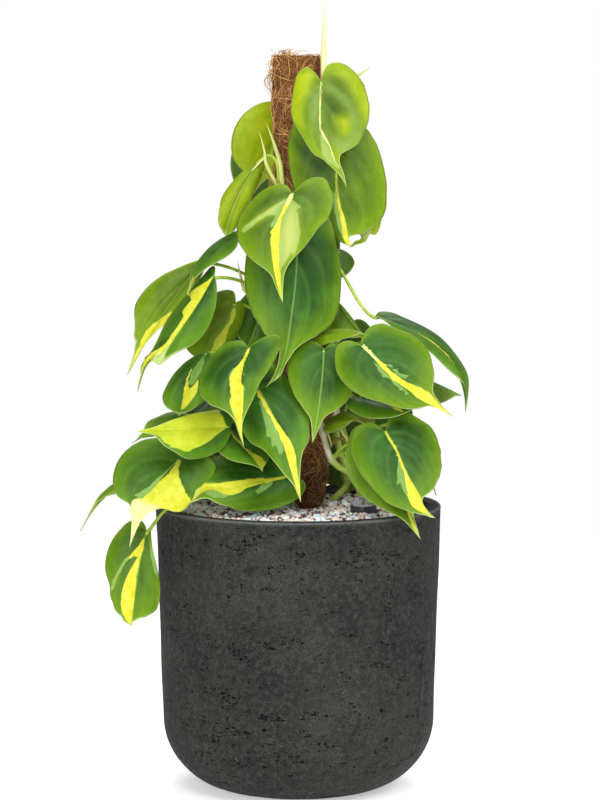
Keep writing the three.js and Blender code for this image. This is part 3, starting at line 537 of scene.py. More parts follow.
middleLeaves = [
    dict(stem=400, base=(-48, -40, 447), bend=(-76, -56, 432), tip=(-87, -66, 403), left=(-68, -28, 439),
         right=(-62, -62, 429), lobe=(0.5, 0.5), neck=0.8,
         gold=[[(-10, 75), (30, 80), (0, 102)]]),
    dict(stem=396, base=(-76, -30, 427), bend=(-111, -46, 385), tip=(-135, -52, 339), left=(-123, -34, 404),
         right=(-90, -44, 393), lobe=(0.25, 0.2), full=(-0.3, 0), young=(0.25, 0.5), dim=0.2,
         edges=[[(10, -2), (21, -1), (38, 2), (58, 6), (75, 9), (88, 13), (97, 18), (100, 24), (98, 31),
         (91, 37), (78, 44), (61, 52), (48, 59), (38, 66), (25, 71), (18, 77), (11, 83), (6, 91)], [(10, -3),
         (35, -4), (60, -2), (80, 6), (88, 18), (85, 30), (74, 42), (61, 49), (46, 56), (33, 62), (19, 69),
         (9, 74), (3, 80), (2, 90)]],
         gold=[[(55, 36), (35, 43), (19, 47), (2, 52), (-8, 55), (-15, 61), (-15, 69), (-8, 75), (0, 80),
         (9, 74), (20, 69), (36, 62), (53, 54), (66, 48), (70, 40)],
               [(-10, 75), (2, 78), (1, 100), (-4, 90)]]),
    dict(stem=388, base=(-66, -60, 418), bend=(-103, -78, 378), tip=(-125, -88, 329), left=(-91, -50, 399),
         right=(-72, -74, 375), lobe=(0.4, 0.3), neck=0.8, full=(0.9, -0.2), dim=0.3,
         sway=[(10, 13), (20, 21), (30, 25), (42, 26), (52, 22), (61, 8), (69, -20), (78, -42), (88, -30)],
         edges=[[(20, -5), (50, -6), (80, -2), (95, 8), (100, 20), (100, 34), (97, 42), (88, 50), (75, 58),
         (64, 63), (60, 68), (74, 72), (95, 75), (74, 78), (48, 86), (24, 94)], [(19, 0), (45, 2), (72, 7),
         (89, 14), (99, 23), (100, 31), (95, 39), (85, 45), (72, 52), (55, 59), (35, 69), (19, 73), (2, 75),
         (-10, 78), (-14, 81), (-6, 89)]],
         gold=[[(2, 0), (11, 7), (20, 18), (24, 30), (25, 42), (22, 55), (12, 67), (-5, 74), (-35, 77),
         (-41, 83), (-21, 92), (0, 100), (-20, 96), (-45, 85), (-60, 77), (-66, 74), (-61, 72), (-35, 69),
         (-8, 66), (4, 58), (2, 48), (7, 42), (2, 34), (-18, 33), (-21, 30), (-18, 22), (-35, 21), (-68, 21),
         (-61, 18), (-35, 12), (-11, 6)]]),
    dict(stem=370, base=(-50, -14, 394), bend=(-61, -26, 369), tip=(-77, -32, 337), left=(-91, -16, 374),
         right=(-48, -14, 370), lobe=(1.4, 0.4), neck=0.8, young=(0.35, 0.5), dim=0.7,
         gold=[[(2, 9), (14, 7), (33, 13), (37, 23), (28, 32), (35, 41), (46, 50), (33, 58), (19, 67),
         (12, 78), (5, 79), (-4, 70), (-9, 58), (-4, 45), (3, 34), (14, 31), (14, 22), (0, 16)]]),
    dict(stem=366, base=(-25, 14, 397), bend=(-34, 10, 374), tip=(-45, 8, 346), left=(-52, 14, 384),
         right=(-11, 20, 378)),
    dict(stem=300, base=(-67, 45, 330), bend=(-91, 60, 298), tip=(-102, 66, 255), left=(-55, 79, 315),
         right=(-93, 18, 315)),
    dict(stem=280, base=(-83, 12, 300), bend=(-109, 16, 271), tip=(-121, 18, 230), left=(-86, 47, 286),
         right=(-66, -8, 278), full=(0, 1)),
]

frontLeaves = [
    dict(stem=438, base=(-1, -50, 451), bend=(1, -68, 380), tip=(-26, -72, 331), left=(-43, -50, 414),
         right=(34, -46, 415), neck=0.72, young=(0, 0.3),
         sway=[(30, 0), (50, 2), (70, 10), (80, 13), (90, 12), (96, 6)],
         edges=[[(7, -6), (19, -13), (40, -16), (64, -14), (83, -6), (95, 5), (99, 15), (98, 24), (93, 31),
         (84, 38), (74, 45), (58, 52), (43, 59), (26, 63), (13, 67), (5, 71), (0, 77), (-4, 84), (-5, 90),
         (-3, 96)], [(7, -6), (19, -13), (40, -16), (64, -13), (80, -4), (87, 4), (94, 10), (98, 17),
         (100, 24), (101, 31), (101, 38), (100, 43), (96, 48), (87, 53), (74, 57), (61, 61), (48, 64),
         (35, 68), (27, 72), (24, 76), (20, 81), (20, 87), (18, 91), (10, 95), (3, 98)]],
         deep=[[(10, 0), (90, 0), (90, 25), (50, 30), (20, 45), (5, 40)]]),
    dict(stem=345, base=(20, -58, 360), bend=(19, -76, 326), tip=(11, -78, 288), left=(-9, -60, 345),
         right=(46, -58, 342), lobe=(0.5, 0.5), neck=0.76, young=(0, 0.3),
         edges=[[(7, -3), (19, -6), (40, -8), (64, -7), (80, -1), (93, 8), (100, 19), (98, 28), (92, 37),
         (84, 44), (72, 53), (55, 60), (39, 67), (24, 73), (14, 80), (8, 89), (3, 96)], [(7, -3), (19, -6),
         (40, -8), (64, -7), (85, -1), (98, 10), (100, 23), (98, 36), (90, 47), (80, 55), (66, 61), (52, 66),
         (33, 70), (20, 75), (13, 82), (6, 92)]],
         pale=[[(-2, 0), (2, 0), (1, 40), (-1, 40)]],
         deep=[[(15, 5), (80, 5), (60, 40), (20, 50)]]),
    dict(stem=352, base=(3, -38, 366), bend=(29, -54, 376), tip=(58, -62, 370), left=(25, -56, 364),
         right=(21, -32, 370), neck=0.85, young=(0.3, 0.5), dim=0.3,
         gold=[[(-10, 80), (10, 80), (0, 102)]]),
    dict(stem=268, base=(68, -78, 297), bend=(76, -98, 269), tip=(106, -108, 233), left=(45, -86, 275),
         right=(106, -76, 287), lobe=(0.6, 1.1), neck=0.84, full=(1, -0.1), young=(0, 0.3),
         over=[(33.7, -27, 277.6), (41, -33, 283), (56, -50, 297)],
         sway=[(10, 3), (20, 8), (30, 10), (40, 8), (50, 6), (60, 4), (75, 0), (85, -7), (93, -7)],
         edges=[[(3, -2), (7, -4), (14, -8), (23, -12), (37, -13), (50, -13), (64, -11), (77, -8), (87, -3),
         (96, 3), (101, 10), (103, 18), (104, 26), (104, 36), (103, 45), (99, 53), (95, 62), (90, 70),
         (84, 77), (71, 83), (59, 87), (47, 91), (33, 94), (19, 96), (9, 99)], [(5, -3), (10, -7), (18, -12),
         (33, -17), (47, -18), (61, -17), (71, -15), (80, -10), (92, -4), (101, 0), (108, 5), (112, 11),
         (114, 20), (112, 26), (110, 34), (104, 39), (98, 45), (91, 52), (82, 57), (71, 63), (57, 68),
         (44, 73), (30, 76), (16, 78), (5, 80), (-2, 84), (-4, 90), (-3, 95)]],
         gold=[[(-3, 0), (3, 0), (7, 10), (12, 20), (12, 30), (10, 40), (8, 50), (6, 60), (5, 72), (2, 79),
         (-3, 84), (-5, 90), (-6, 97), (-20, 94), (-30, 90), (-36, 86), (-30, 78), (-23, 71), (-14, 63),
         (-3, 54), (0, 46), (4, 36), (6, 28), (4, 18), (0, 10)]],
         pale=[[(5, 33), (-5, 42), (-17, 48), (-27, 57), (-39, 64), (-24, 60), (-29, 68), (-30, 77),
         (-20, 70), (-12, 62), (-2, 53), (3, 45)]]),
    dict(stem=268, base=(60, -62, 289), bend=(52, -88, 252), tip=(95, -106, 216), left=(37, -70, 271),
         right=(88, -70, 262), lobe=(0.6, 0.6), neck=0.85, full=(0.3, 0), young=(0.12, 0.3), dim=0.2,
         over=[(32, -24, 272.5), (39, -28, 275.5), (50, -40, 283)],
         sway=[(20, 20), (45, 42), (60, 50), (68, 48), (77, 33), (88, 16)],
         edges=[[(7, -6), (19, -11), (40, -12), (64, -10), (85, -3), (95, 10), (100, 20), (100, 35), (92, 48),
         (77, 60), (55, 67), (30, 74), (8, 79), (-3, 83), (-5, 90), (-3, 95)], [(7, -6), (30, -10), (60, -9),
         (85, -2), (98, 10), (100, 30), (95, 45), (85, 55), (72, 63), (58, 69), (39, 80), (22, 90), (8, 96)]],
         gold=[[(42, 45), (52, 60), (51, 68), (40, 76), (24, 87), (3, 100), (0, 98), (12, 87), (27, 77),
         (42, 66)]]),
    dict(stem=288, base=(23, -31, 297), bend=(33, -36, 306), tip=(55, -44, 299), left=(33, -40, 294),
         right=(37, -18, 305), young=(0.45, 0.6)),
]

rightLeaves = [
    dict(stem=346, base=(81, -20, 339), bend=(105, -24, 333), tip=(131, -16, 319), left=(98, -2, 333),
         right=(95, -34, 318), neck=0.85, young=(0.3, 0.6)),
    dict(stem=400, base=(32, 28, 434), bend=(29, 34, 424), tip=(19, 50, 392), left=(45, 40, 419),
         right=(16, 30, 424), lobe=(0.2, 0.2)),
    dict(stem=350, base=(42, 30, 366), bend=(55, 45, 334), tip=(58, 47, 290), left=(69, 12, 351),
         right=(21, 54, 351)),
    dict(stem=292, base=(58, 37, 340), bend=(82, 50, 308), tip=(94, 56, 265), left=(82, 9, 325),
         right=(48, 72, 325)),
    dict(stem=270, base=(79, 11, 296), bend=(102, 14, 270), tip=(112, 15, 235), left=(90, -20, 284),
         right=(81, 43, 284), young=(0.1, 0.5)),
]

trailingLeaves = [
    dict(stem=286, base=(-54, -56, 298), bend=(-88, -84, 299), tip=(-125, -96, 299), left=(-69, -52, 312),
         right=(-80, -84, 277), lobe=(0.2, 0.2), neck=0.8, young=(0.05, 0.1), dim=0.8,
         edges=[[(30, -1), (60, 2), (85, 8), (97, 15), (97, 20), (88, 26), (82, 33), (77, 41), (72, 48),
         (64, 55), (52, 63), (38, 71), (24, 78), (14, 85), (8, 93)], [(20, -3), (50, -3), (80, 0), (93, 7),
         (100, 18), (103, 30), (97, 40), (86, 48), (72, 57), (58, 65), (42, 72), (27, 78), (16, 84), (10, 90),
         (5, 96)]],
         gold=[[(0, 3), (15, 8), (30, 13), (46, 16), (57, 21), (70, 29), (80, 37), (78, 42), (70, 48),
         (63, 57), (50, 65), (35, 71), (22, 77), (12, 85), (8, 100), (0, 103), (-10, 100), (-17, 84),
         (-27, 77), (-42, 69), (-58, 60), (-68, 51), (-76, 40), (-81, 30), (-93, 24), (-102, 16), (-60, 14),
         (-20, 7)]]),
    dict(stem=297, base=(-49, -22, 316), bend=(-54, -27, 302), tip=(-57, -29, 289), left=(-63, -23, 303),
         right=(-44, -27, 302)),
    dict(stem=262, base=(-94, -66, 273), bend=(-123, -92, 251), tip=(-131, -104, 209), left=(-142, -66, 276),
         right=(-71, -70, 255), lobe=(1.1, 0.6), neck=0.72, full=(0, 0.2), young=(0.05, 0.2), dim=0.35,
         edges=[[(7, -6), (18, -13), (38, -17), (60, -15), (80, -8), (90, -1), (94, 7), (95, 15), (94, 23),
         (91, 31), (86, 39), (79, 47), (70, 54), (60, 59), (50, 62), (36, 63), (25, 64), (19, 69), (12, 74),
         (6, 83), (2, 92)], [(10, -6), (30, -9), (60, -8), (85, 0), (97, 12), (100, 25), (98, 40), (93, 50),
         (88, 56), (80, 59), (67, 60), (50, 59), (36, 60), (23, 64), (13, 69), (8, 77), (5, 86)]],
         gold=[[(-2, 0), (3, 0), (10, 4), (20, 12), (33, 21), (50, 29), (67, 36), (80, 41), (96, 46),
         (95, 53), (88, 60), (67, 60), (50, 60), (36, 61), (26, 65), (16, 69), (11, 77), (8, 86), (0, 103),
         (-6, 92), (-10, 83), (-15, 74), (-21, 68), (-24, 60), (-20, 56), (-10, 54), (-5, 48), (0, 40),
         (3, 30), (8, 20), (5, 10)]],
         pale=[[(0, 10), (3, 30), (-3, 48), (-12, 54), (-27, 54), (-15, 46), (-8, 38), (-5, 25)]],
         cream=[[(-30, 56), (-5, 55), (30, 58), (30, 68), (20, 103), (-20, 103)]]),
    dict(stem=284, base=(-90, -34, 299), bend=(-111, -42, 298), tip=(-132, -44, 284), left=(-106, -28, 306),
         right=(-117, -50, 289), young=(0.1, 0.3)),
    dict(stem=244, base=(-10, -46, 257), bend=(-46, -66, 252), tip=(-85, -91, 242), left=(-47, -28, 279),
         right=(-29, -64, 236), lobe=(1.4, 1.4), neck=0.9, full=(0.3, 0), young=(0, 0.2), dim=0.35,
         sway=[(30, -4), (55, -5), (70, -18), (80, -24), (90, -14)],
         edges=[[(10, -8), (30, -18), (55, -20), (80, -12), (95, 2), (100, 18), (100, 34), (95, 46), (88, 54),
         (82, 61), (70, 69), (52, 77), (35, 85), (22, 90), (8, 95)], [(10, -10), (30, -18), (60, -20),
         (90, -16), (105, -9), (116, -2), (121, 8), (120, 18), (115, 29), (105, 42), (91, 53), (75, 61),
         (58, 69), (40, 75), (23, 79), (11, 83), (2, 88)]],
         gold=[[(-4, 0), (7, 0), (9, 12), (13, 20), (12, 30), (16, 42), (26, 50), (28, 58), (20, 65), (5, 69),
         (-8, 72), (-14, 80), (-12, 87), (0, 98), (-12, 94), (-25, 87), (-33, 79), (-29, 72), (-24, 65),
         (-20, 55), (-19, 48), (-16, 40), (-12, 30), (-6, 20), (-4, 12)]],
         pale=[[(8, 13), (25, 16), (42, 22), (54, 32), (40, 35), (28, 30), (15, 28)], [(-10, 70), (10, 67),
         (26, 60), (33, 66), (20, 76), (0, 82), (-12, 82)]]),
    dict(stem=270, base=(-55, -42, 295), bend=(-38, -56, 284), tip=(-28, -72, 265), left=(-63, -66, 279),
         right=(-29, -28, 285), neck=0.9, dim=0.6, young=(0, 0.12),
         gold=[[(-5, 0), (-14, 4), (-22, 12), (-25, 20), (-25, 40), (-23, 50), (-20, 62), (-15, 73),
         (-13, 84), (-6, 92), (0, 101), (13, 97), (28, 93), (24, 83), (20, 76), (10, 69), (-3, 62), (-10, 55),
         (-15, 47), (-15, 30), (-10, 15), (0, 5)]]),
    dict(stem=238, base=(-120, -58, 216), bend=(-128, -66, 182), tip=(-132, -68, 141), left=(-152, -60, 191),
         right=(-109, -62, 175), lobe=(0.8, 0.1), neck=0.85, full=(0, 0.3), low=(0.23, 0.5),
         over=[(-70, -38, 243), (-101, -53, 235)], young=(0.1, 0.25),
         edges=[[(5, -5), (19, -12), (40, -15), (62, -14), (79, -8), (94, -1), (101, 8), (104, 19), (101, 30),
         (94, 39), (83, 48), (76, 55), (71, 64), (62, 71), (51, 80), (33, 87), (22, 93), (8, 97)], [(6, -3),
         (14, -3), (22, 2), (29, 8), (36, 14), (44, 20), (58, 29), (73, 38), (87, 48), (97, 55), (104, 64),
         (107, 73), (104, 80), (95, 85), (78, 88), (55, 91), (35, 92), (18, 94), (6, 96)]],
         gold=[[(-4, 7), (2, 12), (6, 20), (0, 28), (-2, 40), (-3, 50), (0, 60), (2, 75), (2, 90), (0, 98),
         (-8, 96), (-18, 92), (-30, 84), (-37, 75), (-39, 65), (-36, 56), (-28, 45), (-18, 36), (-8, 27),
         (-20, 26), (-33, 27), (-42, 31), (-30, 22), (-15, 15)]],
         pale=[[(-28, 22), (-45, 27), (-58, 36), (-68, 45), (-73, 58), (-64, 58), (-58, 48), (-50, 38),
         (-38, 30)], [(20, 8), (40, 18), (75, 40), (92, 52), (70, 46), (40, 28)]]),
    dict(stem=252, base=(-131, -20, 253), bend=(-159, -24, 244), tip=(-174, -30, 212), left=(-145, -14, 247),
         right=(-142, -30, 243), neck=0.6, young=(0.2, 0.4), dim=0.4,
         gold=[[(-10, 55), (10, 50), (10, 100), (-10, 100)]]),
]

backLeaves = [
    dict(stem=536, base=(24, 35, 560), bend=(29, 49, 528), tip=(28, 46, 483), left=(56, 25, 544),
         right=(-6, 48, 544), young=(0.4, 0.7)),
    # this blade's full young lime is partly painted glow of light through it
    dict(stem=526, base=(-14, 26, 547), bend=(-21, 22, 511), tip=(-37, 22, 478), left=(-54, 16, 523),
         right=(0, 30, 515), young=(1, 0.95), lobe=(0.85, 0.85)),
    dict(stem=458, base=(-21, 41, 520), bend=(-25, 57, 485), tip=(-25, 56, 438), left=(12, 52, 503),
         right=(-55, 34, 503)),
    dict(stem=430, base=(3, 45, 452), bend=(5, 60, 416), tip=(7, 56, 368), left=(34, 44, 436),
         right=(-30, 53, 436)),
    dict(stem=350, base=(-29, 37, 368), bend=(-40, 54, 336), tip=(-42, 57, 292), left=(-5, 58, 353),
         right=(-59, 24, 353), full=(1, 1)),
    dict(stem=362, base=(2, 64, 386), bend=(1, 80, 351), tip=(1, 74, 304), left=(38, 68, 369),
         right=(-34, 66, 369)),
    dict(stem=296, base=(44, 69, 318), bend=(57, 92, 283), tip=(62, 100, 235), left=(80, 56, 301),
         right=(14, 94, 301)),
    dict(stem=300, base=(-24, 83, 322), bend=(-34, 110, 287), tip=(-38, 120, 239), left=(9, 103, 305),
         right=(-62, 77, 305)),
    dict(stem=266, base=(27, 64, 289), bend=(36, 84, 262), tip=(41, 93, 226), left=(60, 64, 268),
         right=(8, 84, 258), full=(1, 1), neck=0.93, low=(0.3, 0.5)),
    dict(stem=270, base=(-36, 57, 290), bend=(-49, 76, 265), tip=(-55, 84, 230), left=(-15, 80, 278),
         right=(-82, 38, 276), full=(0, 1)),
]

vines = {
    "crown": dict(
        foot=(26, 42), cork=(300, 420),
        route=[(31, 38, 231), (38, 33, 239), (40, 26, 246), (38, 12, 256), (31, 0, 285), beside(80, 330, gap),
               beside(75, 400, gap), beside(66, 470, gap), beside(56, 530, gap), beside(50, 566, gap)],
        leaves=crownLeaves,
        shoots=[dict(way=[(21, -13, 560), (20, -14, 586), (21, -11, 634)], radius=2.6, cream=1.0),
                dict(way=[(17, -15, 556), (47, -16, 574), (57, -16, 581)], radius=1.1, cream=0.3)]),
    "left": dict(
        foot=(-28, 8),
        route=[(-28, 8, 236), beside(-88, 262, gap + 2), beside(-85, 300, gap), beside(-80, 350, gap),
               beside(-62, 430, gap), beside(-42, 487, gap)],
        leaves=leftLeaves,
        shoots=[dict(way=[(-12, -19, 484), (-13.3, -22, 493), (-14.7, -23, 505), (-19, -24, 520),
                          (-25, -24, 536)], radius=2.1, cream=0.35),
                dict(way=[(-15, -19, 484), (-22, -21, 497), (-25.9, -22, 506), (-27, -22, 515),
                          (-31, -22, 530.5)], radius=1.5, cream=0.45),
                dict(way=[(-14, -18, 486), (-19, -20, 489), (-24, -21, 494), (-30.5, -21, 499)], radius=0.9,
                     dry=0.6),
                dict(way=[(-12, -18, 485), (-15, -22, 489), (-18.5, -23, 494)], radius=1.0, dry=0.6),
                dict(way=[(-22, -16, 511), (-28, -17, 508), (-34, -16, 502), (-39, -16, 497)], radius=1.0,
                     cream=0.8)]),
    "middle": dict(
        foot=(-38, 26),
        route=[(-38, 26, 236), beside(-112, 268, gap + 4), beside(-110, 300, gap), beside(-110, 350, gap),
               beside(-100, 402, gap)],
        leaves=middleLeaves,
        shoots=[dict(way=[(-21, 3, 400), (-36, -6, 400), (-43, -14, 404), (-46, -17, 415), (-48.5, -18, 427)],
                     radius=1.6, cream=0.4)]),
    "front": dict(
        foot=(49, -2), cork=(268, 332),
        route=[(49, -2, 236), (49, -5, 242), (40, -18, 257), (27, -23, 268), (19, -25, 292),
               beside(22, 330, gap), beside(8, 380, gap), beside(4, 442, gap)],
        leaves=frontLeaves,
        shoots=[dict(way=[(22, -25, 276), (27, -20, 282), (34, -18, 285), (41, -17, 284)], radius=1.5,
                     dry=0.75),
                dict(way=[(22, -26, 294), (25, -27, 286), (27, -25, 278)], radius=0.8, cream=0.2),
                dict(way=[(32, -30, 297), (36, -31, 290), (41, -32, 283)], radius=1.1, cream=0.3)]),
    "right": dict(
        foot=(58, 22), cork=(300, 420),
        route=[(58, 22, 236), (50, 18, 256), (36, 14, 288), beside(115, 330, gap), beside(116, 380, gap),
               beside(118, 412, gap)],
        leaves=rightLeaves),
    "trailing": dict(
        foot=(-36, -16),
        route=[(-36, -16, 236), (-38, -15, 246), (-46, -15, 264), (-55, -19, 284), (-60, -26, 300)],
        leaves=trailingLeaves),
    "back": dict(
        foot=(5, 38),
        route=[(5, 38, 236), beside(178, 262, gap + 6), beside(180, 300, gap), beside(180, 400, gap),
               beside(184, 480, gap), beside(188, 546, gap)],
        leaves=backLeaves,
        shoots=[dict(way=[(33, 52, 268), (31, 62, 250), (28, 76, 232)], radius=0.6, dry=0.9)]),
}


# Gravel
gravel = {
    "level": 225.8, "reach": 103.2, "spacing": 4.8, "size": (2.2, 4.0), "seed": 11,
    "second": 640, "secondSize": 0.75, "secondLift": 1.3,  # the loose stones that lie on the first layer
    "poleHole": (8, 0, 9.5), "stemHole": 3.4, "bed": 214,
    "kinds": [("gravelCream", 0.42, "#ddc0b0", "#fff6ee"), ("gravelPale", 0.31, "#cfe8f2", "#ffffff"),
              ("gravelDark", 0.27, "#4e3438", "#957c7a")],
}


def crushedStone(name, dark, pale):
    # Crushed stone, broken not rolled: dull facets, each stone of its own tone, with a fine darker grain
    material, tree, principled = startMaterial(name, Roughness=0.72, IOR=1.54)
    point = add(tree, "TexCoord", "Object")
    tone = add(tree, "Attribute", "Fac", attribute_name="stoneTone")
    colour = add(tree, "Mix", 2, data_type="RGBA", in0=tone, in6=linear(dark), in7=linear(pale))
    grain = add(tree, "TexNoise", in2=900.0, in3=3.0, in4=0.7, Vector=point)
    grain = add(tree, "MapRange", in0=grain, in1=0.35, in2=0.7, in4=0.12)
    colour = add(tree, "Mix", 2, data_type="RGBA", in0=grain, in6=colour, in7=linear(dark))
    grained(tree, principled, colour, point, 1600.0, 0.0002, 0.6)
    return material


def stonePlaces():
    # a jittered triangular net over the disc and a loose second layer, clear of all that stands in it
    seeded = np.random.default_rng(gravel["seed"])
    step = gravel["spacing"]
    count = int(gravel["reach"] / step) + 2
    i, j = np.meshgrid(np.arange(-count, count + 1), np.arange(-count, count + 1))
    net = np.c_[((i + 0.5 * (j % 2)) * step).ravel(), (j * step * 0.87).ravel()]
    net += seeded.uniform(-0.4, 0.4, net.shape) * step
    turn = seeded.uniform(0, 2 * np.pi, gravel["second"])
    far = gravel["reach"] * np.sqrt(seeded.random(gravel["second"]))
    places = np.vstack([net, np.c_[far * np.cos(turn), far * np.sin(turn)]])
    layer = np.r_[np.zeros(len(net)), np.ones(len(turn))]
    size = seeded.uniform(*gravel["size"], len(places)) * np.where(layer, gravel["secondSize"], 1)
    standing = [(gauge["x"], gauge["y"], gauge["radius"]), (stopper["x"], stopper["y"], stopper["radius"])]
    standing += [gravel["poleHole"]] + [(*vine["foot"], gravel["stemHole"]) for vine in vines.values()]
    keep = np.hypot(*places.T) + size < gravel["reach"] + 0.6
    for x, y, radius in standing:
        keep &= np.hypot(places[:, 0] - x, places[:, 1] - y) > radius + size * 0.9
    height = gravel["level"] + 0.5 * np.sin(places[:, 0] / 9) * np.cos(places[:, 1] / 7)
    height = height + seeded.uniform(-0.9, 0.5, len(places)) + gravel["secondLift"] * layer
    return np.c_[places, height][keep], size[keep]


def makeGravel():
    # Each stone is a twenty-sided ball, chipped at random corners, stretched and turned. Three kinds share
    # them out by lot, and a flat bed, toned darker than the stones as painted shade in the gaps, closes what
    # shows between them.
    golden = (1 + 5 ** 0.5) / 2
    corners = np.array([(0, a, b * golden) for a in (-1, 1) for b in (-1, 1)], float)
    corners = unit(np.vstack([corners, np.roll(corners, 1, 1), np.roll(corners, 2, 1)]))
    apart = np.linalg.norm(corners[:, None] - corners[None], axis=-1)
    sides = [(a, b, c) for a in range(12) for b in range(a + 1, 12) for c in range(b + 1, 12)
             if max(apart[a, b], apart[b, c], apart[a, c]) < 1.1]
    sides = np.array([s if np.linalg.det(corners[list(s)]) > 0 else s[::-1] for s in sides])
    places, size = stonePlaces()
    count = len(places)
    seeded = np.random.default_rng(gravel["seed"] + 1)
    turn = np.linalg.qr(seeded.normal(size=(count, 3, 3)))[0]
    turn *= np.linalg.det(turn)[:, None, None]
    stretch = seeded.uniform(0.62, 1.15, (count, 1, 3)) * size[:, None, None]
    chips = seeded.uniform(0.72, 1.08, (count, 12, 1))
    stones = np.einsum("nvi,nij->nvj", corners * chips * stretch, turn) + places[:, None]
    tone = np.repeat(seeded.random(count), 12).reshape(count, 12)
    pick, low = seeded.random(count), 0.0
    for name, share, dark, pale in gravel["kinds"]:
        chosen = (pick >= low) & (pick < low + share)
        low += share
        some = stones[chosen]
        faces = (sides + 12 * np.arange(len(some))[:, None, None]).reshape(-1, 3)
        makePiece(name, some.reshape(-1, 3), faces, crushedStone(name + "Stone", dark, pale),
                  "gravel_layer", smooth=False, marks={"stoneTone": tone[chosen].ravel()})
    top, low = gravel["level"] - 0.6, gravel["bed"]
    bed, faces = turned([(0, low), (103, low), (103, top), (70, top), (35, top), (0, top)], 64)
    # painted shade: the bed's tone is darker than the stones', for the shaded depths between them
    makePiece("gravelBed", bed, faces, crushedStone("gravelBedPaintedShade", "#6f605a", "#b3a69c"),
              "gravel_layer", marks={"stoneTone": 0.4})
    print("gravel made:", count, "stones")


makeGravel()


# Coir pole
coir = {
    "heights": [227, 232, 240, 255, 275, 300, 580, 590],
    "aside": [1.9, 1.6, 1, 0, 0, 0, 0, 0],
    "radius": [8, 11, 13.2, 17.2, 18.8, 19.6, 19.6, 18.4],
    "core": (200, 96, -0.8, 0.35),  # rows, columns, how far it stands off the wrap, and its roughness
    "fibres": 3000, "rise": 16, "wind": 0.55, "curl": 0.12, "bow": 1.45, "thick": (0.2, 0.5),
    "loose": 66, "ring": (-17, -20, 584, 4.6), "seed": 31,
}


def coirFibre():
    # Coconut husk fibre pressed into a mat: dry and matt, orange brown, with painted shade that darkens it
    # towards the foot and on the mat under the fibres
    material, tree, principled = startMaterial("coirFibre", Roughness=0.9, IOR=1.45)
    point = add(tree, "TexCoord", "Object")
    tone = add(tree, "Attribute", "Fac", attribute_name="fibreTone")
    coirShade = add(tree, "Attribute", "Fac", attribute_name="coirShade")
    # strands painted between the modelled fibres: thin ridges of two noises, where each crosses its middle
    for size, middle in ((210.0, 0.5), (330.0, 0.48)):
        strand = add(tree, "TexNoise", in2=size, in3=1.0, in8=1.2, Vector=point)
        strand = add(tree, "Math", operation="SUBTRACT", in0=strand, in1=middle)
        strand = add(tree, "Math", operation="ABSOLUTE", in0=strand)
        strand = add(tree, "MapRange", in0=strand, in1=0.004, in2=0.022, in3=0.55, in4=0.0)
        tone = add(tree, "Math", operation="MAXIMUM", in0=tone, in1=strand)
    base = add(tree, "Mix", 2, data_type="RGBA", in0=tone, in6=linear("#703f12"), in7=linear("#eab46c"))
    cloud = add(tree, "TexNoise", in2=120.0, in3=3.0, Vector=point)
    cloud = add(tree, "MapRange", in0=cloud, in1=0.4, in2=0.75, in4=0.4)
    # a darker cloud of the fibre's own, then the painted shade
    for share, colour in ((cloud, "#4a270a"), (coirShade, "#4a2712")):
        base = add(tree, "Mix", 2, data_type="RGBA", in0=share, in6=base, in7=linear(colour))
    grained(tree, principled, base, point, 1500.0, 0.0002, 0.5)
    return material


def coirSkin(angle, z):  # radius of the wrap: its section's own, and two crossing waves of the mat
    wraps = np.sin(3 * angle + z / 9) + 0.7 * np.sin(5 * angle - z / 5.3)
    return np.interp(z, coir["heights"], coir["radius"]) + 0.4 * wraps


def coirPoint(angle, z, lift=0.0):  # on the wrap or a lift above it, round the leaning pole
    radius = coirSkin(angle, z) + lift
    centre = poleX(z) + np.interp(z, coir["heights"], coir["aside"])
    return np.stack([centre + radius * np.cos(angle), radius * np.sin(angle), z], -1)


def makeCore(seeded, finish):  # the mat under the fibres: the wrap's rings, roughened, closed at both ends
    rows, columns, lift, rough = coir["core"]
    z = np.linspace(pole["low"], pole["top"], rows)[:, None]
    angle = np.arange(columns)[None] * 2 * np.pi / columns
    ring = coirPoint(angle + 0 * z, z + 0 * angle, lift)
    ring[:, :, :2] += seeded.uniform(-rough, rough, (rows, columns, 1))
    ends = [np.tile([poleX(h) + aside, 0, h], (columns, 1))
            for h, aside in ((pole["low"], coir["aside"][0]), (pole["top"] - 1.0, 0))]
    points = np.vstack([ends[0], ring.reshape(-1, 3), ends[1]])
    # painted shade: the mat under the fibres takes the darkest fibre tone and is darkened all over, more
    # towards the foot
    makePiece("coirCore", points, gridFaces(rows + 2, columns, wrap=True), finish, "coir_pole",
              marks={"fibreTone": 0.0, "coirShade": np.clip((300 - points[:, 2]) / 50, 0.3, 0.95)})


def makeFibres(seeded, finish):
    # each fibre winds a little way round the pole, rising or falling, and bows out as half a sine
    many, steps = coir["fibres"] // 2, 8
    u = np.linspace(0, 1, steps)
    for part in range(2):
        start = seeded.uniform(0, 2 * np.pi, (many, 1))
        middle = seeded.uniform(pole["low"] + 2, pole["top"] - 1, (many, 1))
        rise, wind = seeded.normal(0, coir["rise"], (many, 1)), seeded.normal(0, coir["wind"], (many, 1))
        bow = seeded.uniform(0, coir["bow"], (many, 1)) ** 2
        curl = seeded.normal(0, coir["curl"], (many, 1))
        height = np.clip(middle + rise * (u - 0.5), pole["low"] + 1, pole["top"] + 0.8)
        around = start + wind * (u - 0.5) + curl * np.sin(2 * np.pi * u)
        paths = coirPoint(around, height, -0.5 + bow * np.sin(np.pi * u))
        radius = seeded.uniform(*coir["thick"], (many, 1)) * (0.5 + 0.5 * np.sin(np.pi * u))
        points, faces = tubes(paths, radius, 3)
        tone = np.repeat(seeded.random(many) ** 1.5, (steps + 2) * 3)
        # painted shade darkens the fibres towards the foot
        makePiece("coirFibres%d" % (part + 1), points, faces, finish, "coir_pole",
                  marks={"fibreTone": tone, "coirShade": np.clip((268 - points[:, 2]) / 70, 0, 0.5)})


